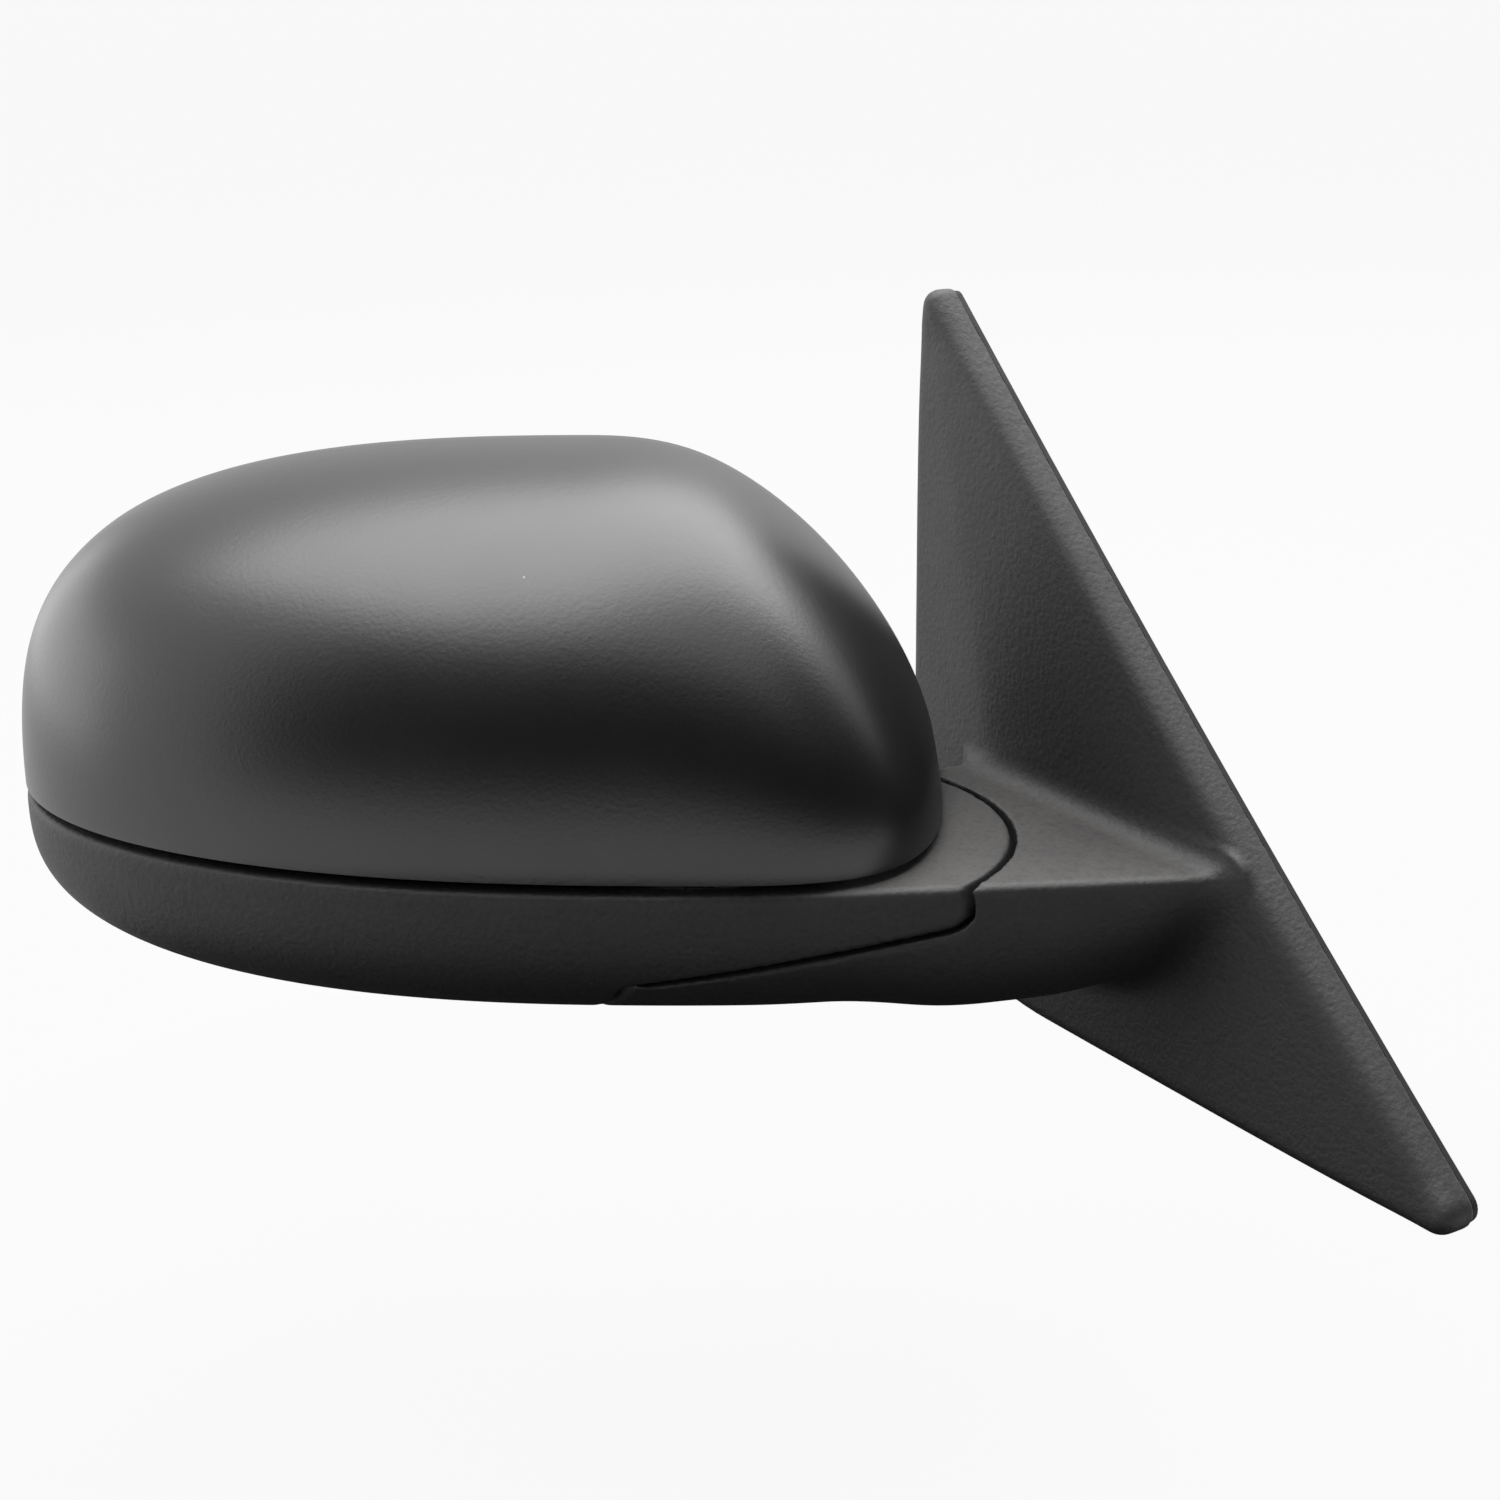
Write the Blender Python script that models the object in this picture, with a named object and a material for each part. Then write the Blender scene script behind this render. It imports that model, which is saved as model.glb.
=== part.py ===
"""Right-hand car door mirror as named solids in one frame, in metres with +Z up.

The door's mounting plane is x = 0, outboard is -X and the front of the car is -Y.
The head has its own frame: u outboard along the head, v to the front, w up. Its origin is
where the leaning fold axis meets the shelf plane on top of the arm.
Lengths below are in millimetres unless a name says otherwise.
"""

import math

import bmesh
import bpy
from mathutils import Matrix, Vector

MM = 0.001
WALL = 2.5
FIT = 0.4
EPS = 1e-9

# Where the head stands, and how its fold axis leans outboard.
FOLD_FOOT = (-84.0, 35.0, 0.0)
HEAD_SWEEP = math.radians(33.0)
FOLD_LEAN = math.radians(10.7)

# Head envelope in u, v, w.
U_IN, U_MID, U_OUT = -41.0, 36.0, 202.5
RIM_V, HEAD_DEPTH = -50.0, 94.0
TOP_W, BELLY_W, CAP_LIFT = 90.0, 45.0, 2.5
PLAN_OUT, PLAN_IN = 2.25, 4.0
TOP_OUT, TOP_IN = 3.0, 1.57
BELLY_OUT = 2.95
CAP_ROUND = 2.3
BELLY_ROUND = ((-106.0, 1.6), (-84.0, 2.4), (-60.0, 3.2))
CAP_STEPS, BELLY_STEPS, REAR_STEPS = 9, 8, 4
RIDGE_FILLET = 2.2
CAP_LAP, WAY_IN_INSET, WAY_IN_DEEP = 6.0, 4.5, 10.0

# Arm from the swivel to the sail.
ARM_SLOPE, ARM_BEND = 0.13, 60.0
ARM_U = (-135.0, -112.0, -96.0, -82.0, -68.0, -52.0, -42.0, -33.0, -22.0, -10.0, 6.0, 25.0)
ARM_REAR = ((-135.0, -86.0), (-52.0, -53.0), (-33.0, -44.5), (-10.0, RIM_V))
ARM_REAR_ROUND = ((-52.0, 34.0), (-10.0, 0.6))
ARM_FLARE = ((-66.0, -3.0), (-30.0, -1.6), (10.0, 0.0))

# Swivel split: a plane square to the fold axis inside a round wall about it.
SPLIT_S, SPLIT_GAP = -19.2, 1.2
BOSS_R, DISC_R, ARM_WALL_R, SKIRT_WALL_R = 54.0, 55.5, 57.0, 57.5
REACH = 300.0
ROUND_STEPS = 36
PIN_STEPS, SLEEVE_STEPS = 10, 20

# Sail: corners, then the bow of its sloping edge.
SAIL_TOP, SAIL_TIP, SAIL_REAR = (84.8, 128.0), (-130.4, -62.9), (90.0, -65.6)
SAIL_BOW = (-20.5, 28.6)
SAIL_RADII, SAIL_LEAST_R = (3.8, 5.0, 14.0), 1.5
SAIL_STEPS, CORNER_STEPS = 8, 5
SAIL_MIDDLE = (24.0, -8.0)
SAIL_RIM = ((-1.2, 0.0, 1.0), (-6.0, 0.2, 1.0), (-8.3, 1.2, 1.0), (-9.4, 3.4, 1.0))
SAIL_CROWN = ((-11.2, 3.4, 0.85), (-12.6, 3.4, 0.6))
SAIL_HOLLOW = ((1.0, 3.0, 1.0), (-5.8, 3.0, 1.0), (-8.4, 3.0, 0.86), (-9.8, 3.0, 0.62))
ARM_TRIM_X = -6.0

# Mounting side.
PLATE_X, PLATE_INSET = -5.0, 3.8
STUDS = ((70.0, 50.0), (-58.0, -47.0), (68.0, -44.0))
STUD_R, STUD_HOLE_R, STUD_HEAD_R, STUD_HEAD_HIGH, STUD_OUT = 3.0, 3.4, 4.8, 1.6, 20.0
GASKET_X, GASKET_OUT, GASKET_IN = (-0.9, 0.9), -0.4, 2.9
GROMMET_AT, GROMMET_HOLE_R, GROMMET_BORE_R = (20.0, -18.0), 9.4, 5.0
BEAM = ((-106.0, -28.0, -13.0), (-60.0, -17.0, 9.0), (-8.0, -17.0, 12.0))
BEAM_W = (-36.0, -27.0)
SEAT_R, SEAT_S = 24.0, (-33.0, -22.3)
COVER_SCREWS, COVER_SCREW_R, COVER_SCREW_TIP = (-53.0, -38.0), 1.5, -32.0
CASE_SCREW_HEAD_R, SCREW_HEAD_HIGH, SCREW_CLEAR_R, DRILL_W = 4.0, 1.8, 2.2, -60.0

# Pivot stack along the fold axis, as distances s from the shelf plane.
POST_R, POST_BORE_R, POST_S = 11.0, 7.5, (-33.4, 46.0)
POST_FLANGE_R, POST_FLANGE_S = 14.0, -36.4
DETENT_R, DETENT_S = 14.4, (-21.9, -17.0)
COVER_HOLE_R = 15.0
HUB_R, HUB_BORE_R, HUB_S = 24.0, 12.8, (-16.4, -6.0)
SKIRT_HOLE_R = 25.0
BUSH_R, BUSH_BORE_R = 12.4, 11.4
SPRING_R, SPRING_WIRE, SPRING_S, SPRING_TURNS = 14.5, 1.5, (-4.0, 32.0), 6
SPRING_POINTS, SPRING_SIDES = 10, 5
RETAINER_R, RETAINER_S = 18.0, (34.0, 38.0)
CLIP_R, CLIP_S = 15.0, (38.4, 40.6)

# Carrier frame behind the actuator.
CARRIER_V = (-1.5, 1.5)
CARRIER = (
    (32, -15), (62, -15), (72, -34), (122, -34), (150, -18), (150, 56), (105, 71), (40, 71), (32, 60)
)
CARRIER_FOOT = (Vector((78.0, -9.0, -34.0)), Vector((118.0, 5.0, -31.5)))
CARRIER_RIB = (Vector((18.0, -10.0, -14.8)), Vector((50.0, 10.0, -7.0)))
CARRIER_WINDOWS = ((66.0, -8.0), (112.0, 8.0), (62.0, 58.0))
WINDOW_R = 8.0
SKIRT_SCREWS, SKIRT_SCREW_V, SKIRT_SCREW_R, SKIRT_SCREW_TIP = (88.0, 108.0), -2.0, 1.7, -28.0

# Glass axes cross at this point of the head frame.
GLASS = Vector((85.0, -33.0, 27.0))
BEZEL_LOOPS = (
    (-50.4, 0.4), (-52.5, 0.7), (-54.3, 2.6), (-54.5, 9.0),
    (-53.0, 11.6), (-38.0, 12.0), (-38.0, 9.6), (-50.4, 9.6),
)
TIP_ROUND = 6.0
BLEND_U = (20.0, 100.0)
LOOP_IN, LOOP_OUT = 8, 10
HOLDER_INSET, HOLDER_LIP, GLASS_INSET, HEATER_INSET = 16.0, 17.6, 18.2, 21.0
HOLDER_V, HOLDER_LIP_V = (-8.0, -6.0), -11.0
HEATER_V, GLASS_V = (-8.9, -8.3), (-11.6, -9.2)

# Actuator, about the glass point: arms are how far the jack screws stand from the centre.
JACK_ARM = 30.0
CASE_R, CASE_WALL = 46.0, 2.0
CASE_FRONT_V, CASE_REAR_V = (-2.2, -13.8), (-14.2, -25.2)
DRIVE_V = -14.0
MOTOR_R, MOTOR_SPAN, SHAFT_R, SHAFT_END = 9.0, (11.0, 35.0), 1.2, -7.0
WORM_R, WORM_ROOT_R, WORM_BORE_R, WORM_HALF, WORM_RIDGES = 3.8, 2.8, 1.6, 7.0, 3
GEAR_TEETH, GEAR_R, GEAR_ROOT_R, GEAR_BORE_R, GEAR_HALF = 14, 11.8, 10.0, 4.8, 3.5
WORM_ARM = JACK_ARM - GEAR_R - WORM_R - 0.6
JACK_R, JACK_NECK_R, JACK_BALL_R, JACK_V, JACK_HOLE_R = 4.3, 2.4, 4.0, (-9.0, -27.5), 5.2
BALL_POST_R, BALL_POST_V = 5.5, -36.2
RING_R, RING_BORE_R, RING_HALF = 11.5, 8.0, 2.4
STUB_R, STUB_HOLE_R, STUB_OUT = 1.5, 1.9, 15.6
PLATE_R, PLATE_V, PLATE_EYE_R = 37.0, (-5.5, -3.2), 13.6
EYE_WALL_R, EYE_TOP, CUP_R, CUP_BORE_R, CUP_TOP = 17.0, 2.6, 8.0, 5.2, 1.2
LUG_R, LUG_ARM, LUG_TURNS = 5.5, 50.0, (33.0, 152.0, 272.0)
LUG_V, SCREW_HEAD_R, SCREW_SHANK_R, LUG_SCREW_TIP = (-2.7, -6.0), 3.4, 1.5, 5.0
SOCKET_LOW, SOCKET_HIGH = Vector((29.0, -13.0, 19.0)), Vector((38.4, -3.0, 37.0))
TAB_AT, TAB_HALF, TAB_V = ((-52.0, 9.0), (-52.0, -9.0)), (0.5, 3.1), (-5.6, 1.4)

for old in list(bpy.data.objects):
    bpy.data.objects.remove(old)

AXIS = Vector((math.sin(FOLD_LEAN), 0.0, math.cos(FOLD_LEAN)))
DOWNHILL = Vector((math.cos(FOLD_LEAN), 0.0, -math.sin(FOLD_LEAN)))
ACROSS = Vector((0.0, 1.0, 0.0))
LEAN = Matrix((DOWNHILL, ACROSS, AXIS)).transposed().to_4x4()
HEAD_U = Vector((-math.cos(HEAD_SWEEP), math.sin(HEAD_SWEEP), 0.0))
HEAD_V = Vector((-math.sin(HEAD_SWEEP), -math.cos(HEAD_SWEEP), 0.0))
HEAD_W = Vector((0.0, 0.0, 1.0))
HEAD = Matrix.Translation(FOLD_FOOT) @ Matrix((HEAD_U, HEAD_V, HEAD_W)).transposed().to_4x4()
ALONG_X = Matrix.Rotation(math.radians(90.0), 4, "Y")
ALONG_V = Matrix.Rotation(math.radians(-90.0), 4, "X")
ALONG_U = Matrix.Rotation(math.radians(90.0), 4, "Y")
NO_TURN = Matrix.Identity(4)


def power_arc(ratio, power):
    """Height of a rounded-square curve at a share of its half width."""
    return max(0.0, 1.0 - abs(ratio) ** power) ** (1.0 / power)


def smooth_step(x):
    """Ease from 0 to 1."""
    x = min(max(x, 0.0), 1.0)
    return x * x * (3.0 - 2.0 * x)


def between(points, x):
    """Straight-line value at x through (x, y) points, held level past both ends."""
    if x <= points[0][0]:
        return points[0][1]
    for (x0, y0), (x1, y1) in zip(points, points[1:]):
        if x <= x1:
            return y0 + (y1 - y0) * (x - x0) / (x1 - x0)
    return points[-1][1]


def eased(start, end, steps, last=89.3):
    """Stations from start towards end that crowd up near the end."""
    shares = [math.sin(math.radians(last * k / steps)) for k in range(steps + 1)]
    return [start + (end - start) * share for share in shares]


def body(verts, faces, matrix=NO_TURN):
    """A closed mesh object from points in millimetres."""
    mesh = bpy.data.meshes.new("raw")
    mesh.from_pydata([matrix @ Vector(p) for p in verts], [], faces)
    shape = bmesh.new()
    shape.from_mesh(mesh)
    bmesh.ops.recalc_face_normals(shape, faces=shape.faces)
    shape.to_mesh(mesh)
    shape.free()
    obj = bpy.data.objects.new("raw", mesh)
    bpy.context.scene.collection.objects.link(obj)
    return obj


def loft(rings, closed=False, matrix=NO_TURN):
    """Skin between rings of equal count. A closed one joins its last ring to its first."""
    count = len(rings[0])
    verts = [p for ring in rings for p in ring]
    faces = []
    for k in range(len(rings) - (0 if closed else 1)):
        low = k * count
        high = (k + 1) % len(rings) * count
        faces += [(low + i, low + (i + 1) % count, high + (i + 1) % count, high + i) for i in range(count)]
    if not closed:
        faces.append(tuple(range(count)))
        faces.append(tuple(range(len(verts) - count, len(verts))))
    return body(verts, faces, matrix)


def lathe(profile, matrix=NO_TURN, steps=ROUND_STEPS, ring=False):
    """Turn (radius, height) points about local Z. A ring profile is a loop off the axis."""
    verts, starts, faces = [], [], []
    turns = [2.0 * math.pi * k / steps for k in range(steps)]
    for radius, height in profile:
        starts.append(len(verts))
        if radius < EPS:
            verts.append((0.0, 0.0, height))
        else:
            verts += [(radius * math.cos(a), radius * math.sin(a), height) for a in turns]
    pairs = list(zip(range(len(profile)), range(1, len(profile))))
    if ring:
        pairs.append((len(profile) - 1, 0))
    for a, b in pairs:
        for k in range(steps):
            n = (k + 1) % steps
            low = [starts[a]] if profile[a][0] < EPS else [starts[a] + k, starts[a] + n]
            high = [starts[b]] if profile[b][0] < EPS else [starts[b] + n, starts[b] + k]
            faces.append(tuple(low + high))
    return body(verts, faces, matrix)


def rod(radius, low, high, matrix=NO_TURN, steps=ROUND_STEPS):
    """Plain cylinder along local Z."""
    return lathe([(0.0, low), (radius, low), (radius, high), (0.0, high)], matrix, steps)


def tube(outer, inner, low, high, matrix=NO_TURN, steps=ROUND_STEPS):
    """Plain sleeve along local Z."""
    return lathe([(outer, low), (outer, high), (inner, high), (inner, low)], matrix, steps, ring=True)


def box(low, high, matrix=NO_TURN):
    """Block between two corners."""
    square = ((low[0], low[1]), (high[0], low[1]), (high[0], high[1]), (low[0], high[1]))
    return loft([[(x, y, z) for x, y in square] for z in (low[2], high[2])], matrix=matrix)


def is_closed(mesh):
    """Does every edge of a mesh join two faces?"""
    shape = bmesh.new()
    shape.from_mesh(mesh)
    closed = all(len(edge.link_faces) == 2 for edge in shape.edges)
    shape.free()
    return closed and len(mesh.polygons) > 0


def boolean(target, other, operation):
    """Apply a Boolean, exact unless that leaves an open edge, and drop the other body."""
    modifier = target.modifiers.new(operation, "BOOLEAN")
    modifier.operation = operation
    modifier.object = other
    for solver in ("EXACT", "MANIFOLD"):
        modifier.solver = solver
        graph = bpy.context.evaluated_depsgraph_get()
        mesh = bpy.data.meshes.new_from_object(target.evaluated_get(graph))
        if is_closed(mesh):
            break
    target.modifiers.clear()
    target.data = mesh
    bpy.data.objects.remove(other)
    return target


def cut(target, *others):
    """Take the other bodies out of the target."""
    for other in others:
        boolean(target, other, "DIFFERENCE")
    return target


def join(target, *others):
    """Add the other bodies to the target."""
    for other in others:
        boolean(target, other, "UNION")
    return target


def finish(obj, name, material, parent=None, smooth=True):
    """Name a body, bring it to metres, give it its material and hang it on its frame."""
    obj.data.transform(Matrix.Scale(MM, 4))
    obj.name = name
    obj.data.name = name
    obj.data.materials.clear()
    obj.data.materials.append(material)
    if smooth:
        obj.data.shade_smooth()
        obj.data.set_sharp_from_angle(angle=math.radians(32.0))
    obj.parent = parent
    return obj


def finish_material(name, colour, roughness, metallic=0.0):
    """A plain Principled material."""
    material = bpy.data.materials.new(name)
    material.use_nodes = True
    shader = material.node_tree.nodes["Principled BSDF"]
    shader.inputs["Base Color"].default_value = (*colour, 1.0)
    shader.inputs["Roughness"].default_value = roughness
    shader.inputs["Metallic"].default_value = metallic
    return material


def frame(name, matrix, parent=None):
    """An empty that carries a moving group on its axis."""
    empty = bpy.data.objects.new(name, None)
    bpy.context.scene.collection.objects.link(empty)
    empty.parent = parent
    empty.matrix_local = matrix
    return empty


def cap_top(u, inset=0.0):
    """Height of the cap's rear edge at u."""
    if u > U_MID:
        share = power_arc((u - U_MID) / (U_OUT - inset - U_MID), TOP_OUT)
    else:
        share = power_arc((U_MID - u) / (U_MID - U_IN - inset), TOP_IN)
    return CAP_LIFT + (TOP_W - inset - CAP_LIFT) * share


def cap_nose(u, inset=0.0):
    """Depth of the head in front of its rim at u."""
    if u > U_MID:
        share = power_arc((u - U_MID) / (U_OUT - inset - U_MID), PLAN_OUT)
    else:
        share = power_arc((U_MID - u) / (U_MID - U_IN - inset), PLAN_IN)
    return (HEAD_DEPTH - inset) * share


def cap_arc(u, inset, rise):
    """Front and top curve of the cap's section at u."""
    points = []
    for k in range(CAP_STEPS + 1):
        turn = math.pi / 2.0 * k / CAP_STEPS
        v = RIM_V + cap_nose(u, inset) * max(math.cos(turn), 0.0) ** (2.0 / CAP_ROUND)
        w = CAP_LIFT + (cap_top(u, inset) - CAP_LIFT) * math.sin(turn) ** (2.0 / CAP_ROUND)
        points.append((u, v, w + rise))
    return points


def cap_stations(inset):
    """u stations over the cap, crowded at both tips."""
    inboard = eased(U_MID, U_IN + inset, LOOP_IN)
    return inboard[:0:-1] + eased(U_MID, U_OUT - inset, LOOP_OUT)


def cap_cover():
    """Thin upper shell, open below and behind."""
    outer = loft([cap_arc(u, 0.0, 0.0) + [(u, RIM_V, CAP_LIFT)] for u in cap_stations(0.0)])
    past = 6.0
    hollow = []
    for u in cap_stations(WALL):
        arc = cap_arc(u, WALL, 0.0)
        low = (u, arc[0][1], CAP_LIFT - past)
        behind = [(u, RIM_V - past, arc[-1][2]), (u, RIM_V - past, CAP_LIFT - past)]
        hollow.append([low] + arc + behind)
    return cut(outer, loft(hollow))


def hull_front(u, inset=0.0):
    """Front edge of the arm and skirt at u."""
    if u > U_MID:
        return RIM_V + cap_nose(u, inset)
    back = U_MID - u
    bend = min(back, ARM_BEND)
    return RIM_V + HEAD_DEPTH - inset - ARM_SLOPE * (bend * bend / (2.0 * ARM_BEND) + back - bend)


def hull_belly(u, inset=0.0):
    """Depth of the arm and skirt below the shelf at u."""
    flare = between(ARM_FLARE, u)
    share = power_arc(max(0.0, u - U_MID) / (U_OUT - inset - U_MID), BELLY_OUT)
    return (BELLY_W + flare - inset) * share


def hull_ring(u, inset):
    """Closed section of the arm and skirt: flat top, rounded belly."""
    rear = between(ARM_REAR, u) + inset
    front = max(hull_front(u, inset), rear + 1.0)
    middle = rear + min(between(ARM_REAR_ROUND, u), (front - rear) / 2.0)
    deep = max(hull_belly(u, inset) - inset, 0.5)
    fillet = min(RIDGE_FILLET, (front - middle) / 3.0, deep / 3.0)
    power = 2.0 / between(BELLY_ROUND, u)
    ring = [(u, front - fillet, -inset), (u, front - 0.3 * fillet, -inset - 0.3 * fillet)]
    for k in range(BELLY_STEPS + 1):
        turn = math.pi / 2.0 * k / BELLY_STEPS
        v = middle + (front - middle) * max(math.cos(turn), 0.0) ** power
        w = -fillet - (deep - fillet) * math.sin(turn) ** power
        ring.append((u, v, w - inset))
    for k in range(1, REAR_STEPS + 1):
        turn = math.pi / 2.0 * k / REAR_STEPS
        v = middle - (middle - rear) * math.sin(turn) ** power
        w = -deep * max(math.cos(turn), 0.0) ** power
        ring.append((u, v, w - inset))
    return ring


def hull(inset):
    """Arm and skirt as one body, before the swivel splits it."""
    stations = list(ARM_U) + eased(U_MID, U_OUT - inset, LOOP_OUT)
    return loft([hull_ring(u, inset) for u in stations])


def half_block(side, round_r):
    """Everything on one side of the fold axis, outside a round wall about it."""
    low, high = ((-REACH, 0.0), (0.0, REACH))[side]
    block = box((low, -REACH, -REACH), (high, REACH, REACH))
    return cut(block, rod(round_r, -2.0 * REACH, 2.0 * REACH, LEAN))


def lower_skirt():
    """Lower shell of the head with the swivel boss."""
    floor = SPLIT_S + SPLIT_GAP
    skirt = cut(hull(0.0), rod(SKIRT_WALL_R, -REACH, floor, LEAN), half_block(0, BOSS_R))
    hollow = hull(WALL)
    cut(hollow, rod(SKIRT_WALL_R + WALL, -REACH, floor + WALL, LEAN), half_block(0, BOSS_R - WALL))
    cut(skirt, hollow, rod(SKIRT_HOLE_R, -REACH, 0.0, LEAN))
    under_cap = [(u, RIM_V + cap_nose(u, CAP_LAP)) for u in cap_stations(CAP_LAP)]
    under_cap += [(U_OUT - CAP_LAP, 2.0 * RIM_V), (BLEND_U[0], 2.0 * RIM_V)]
    under_cap += [(BLEND_U[0], RIM_V + WALL), (U_IN + CAP_LAP, RIM_V + WALL)]
    cut(skirt, loft([[(u, v, w) for u, v in under_cap] for w in (-2.0 * WALL, WALL)]))
    cut(skirt, plate_of(WAY_IN_INSET, 2.0 * RIM_V, RIM_V + WAY_IN_DEEP))
    for u in SKIRT_SCREWS:
        spot = Matrix.Translation((u, SKIRT_SCREW_V, 0.0))
        cut(skirt, rod(SCREW_CLEAR_R, DRILL_W, SKIRT_SCREW_TIP, spot, PIN_STEPS))
    return skirt


def belly_at(u, v):
    """Height of the underside of the arm or skirt at a point of its plan."""
    middle = between(ARM_REAR, u) + between(ARM_REAR_ROUND, u)
    share = power_arc((v - middle) / (hull_front(u) - middle), between(BELLY_ROUND, u))
    return -RIDGE_FILLET - (hull_belly(u) - RIDGE_FILLET) * share


def rear_slope(u, inset):
    """Height of the bezel's inboard upper edge at u."""
    low, high = CAP_LIFT + inset, TOP_W - inset
    return low + (high - low) * power_arc((U_MID - u) / (U_MID - U_IN - 1.5 * inset), TOP_IN)


def rear_tip(inset):
    """Inboard end of the bezel, where its slope meets its rounded lower corner."""
    share = (TIP_ROUND + 0.6 * inset) / (TOP_W - CAP_LIFT - 2.0 * inset)
    return U_MID - (U_MID - U_IN - 1.5 * inset) * power_arc(share, TOP_IN)


def rear_floor(u, inset):
    """Lower edge of the bezel at u: over the swivel inboard, down on the skirt outboard."""
    out = U_OUT - inset
    tip = rear_tip(inset)
    turn_r = TIP_ROUND + 0.6 * inset
    past = min(1.0, max(0.0, tip + turn_r - u) / turn_r)
    shelf = CAP_LIFT + inset + turn_r * (1.0 - power_arc(past, 2.0))
    belly = (BELLY_W - inset) * power_arc(max(0.0, u - U_MID) / (out - U_MID), BELLY_OUT)
    drop = smooth_step((u - BLEND_U[0]) / (BLEND_U[1] - BLEND_U[0]))
    return shelf * (1.0 - drop) - belly * drop


def rear_loop(inset):
    """Outline of the head's rear opening in u and w, set in by a distance."""
    out = U_OUT - inset
    inboard = eased(U_MID, rear_tip(inset), LOOP_IN, 90.0)
    outboard = eased(U_MID, out, LOOP_OUT, 90.0)
    upper = [(u, rear_slope(u, inset)) for u in inboard[::-1]]
    for u in outboard[1:]:
        upper.append((u, (TOP_W - inset) * power_arc((u - U_MID) / (out - U_MID), TOP_OUT)))
    lower = [(u, rear_floor(u, inset)) for u in outboard[-2::-1] + inboard[1:-1]]
    return upper + lower


def plate_of(inset, low, high, centre=None):
    """Slab with the outline of the rear opening, about a centre when one is given."""
    shift = centre or Vector((0.0, 0.0, 0.0))
    return loft([[(u - shift.x, v, w - shift.z) for u, w in rear_loop(inset)] for v in (low, high)])


def round_corners(corners, radii, steps=CORNER_STEPS):
    """Polygon points with an arc at each corner."""
    points = []
    count = len(corners)
    for i, radius in enumerate(radii):
        here = Vector(corners[i])
        to_last = (Vector(corners[i - 1]) - here).normalized()
        to_next = (Vector(corners[(i + 1) % count]) - here).normalized()
        if radius < EPS:
            points.append(here)
            continue
        half = to_last.angle(to_next) / 2.0
        centre = here + (to_last + to_next).normalized() * radius / math.sin(half)
        first = here + to_last * radius / math.tan(half) - centre
        last = here + to_next * radius / math.tan(half) - centre
        for k in range(steps + 1):
            points.append(centre + first.slerp(last, k / steps).normalized() * radius)
    return points


def inset_corners(corners, distance):
    """Polygon with every side moved in by a distance. Corners run anticlockwise."""
    moved = []
    count = len(corners)
    for i in range(count):
        here = Vector(corners[i])
        before = (here - Vector(corners[i - 1])).normalized()
        after = (Vector(corners[(i + 1) % count]) - here).normalized()
        normals = [Vector((-d.y, d.x)) for d in (before, after)]
        corner = normals[0] + normals[1]
        moved.append(here + corner * distance / (1.0 + normals[0].dot(normals[1])))
    return moved


def sail_outline(inset):
    """Sail outline in y and z, set in by a distance."""
    top, tip = Vector(SAIL_TOP), Vector(SAIL_TIP)
    bow = Vector(SAIL_BOW)
    slope = []
    for k in range(1, SAIL_STEPS):
        t = k / SAIL_STEPS
        slope.append(top * (1 - t) ** 2 + bow * 2 * t * (1 - t) + tip * t ** 2)
    corners = inset_corners([Vector(SAIL_REAR), top] + slope + [tip], inset)
    at_top, at_tip, at_rear = [max(r - inset, SAIL_LEAST_R) for r in SAIL_RADII]
    return round_corners(corners, [at_rear, at_top] + [0.0] * len(slope) + [at_tip])


def sail_body(loops):
    """Sail slab through (x, inset, share) loops, each drawn in towards the middle by its share."""
    middle = Vector(SAIL_MIDDLE)
    rings = []
    for x, inset, share in loops:
        points = [middle + (p - middle) * share for p in sail_outline(inset)]
        rings.append([(x, p.x, p.y) for p in points])
    return loft(rings)


def to_world(obj):
    """Move a body built in the head's frame to the shared frame."""
    obj.data.transform(HEAD)
    return obj


def base_cover():
    """Arm, swivel disc and sail as one thin moulding, open to the door."""
    cover = cut(hull(0.0), rod(ARM_WALL_R, SPLIT_S, REACH, LEAN), half_block(1, DISC_R))
    hollow = hull(WALL)
    cut(hollow, rod(ARM_WALL_R + WALL, SPLIT_S - WALL, REACH, LEAN), half_block(1, DISC_R - WALL))
    to_world(cover)
    to_world(hollow)
    cut(cover, box((ARM_TRIM_X, -REACH, -REACH), (REACH, REACH, REACH)))
    join(cover, sail_body(SAIL_RIM + SAIL_CROWN))
    cut(cover, hollow, sail_body(SAIL_HOLLOW))
    cut(cover, to_world(rod(COVER_HOLE_R, SPLIT_S - 2.0 * WALL, SPLIT_S + WALL, LEAN)))
    for u in COVER_SCREWS:
        spot = Matrix.Translation((u, 0.0, 0.0))
        cut(cover, to_world(rod(SCREW_CLEAR_R, DRILL_W, BEAM_W[0], spot, PIN_STEPS)))
    return cover


def at_sail(y, z):
    """Matrix with local Z along +X at a point of the mounting plane."""
    return Matrix.Translation((0.0, y, z)) @ ALONG_X


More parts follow.
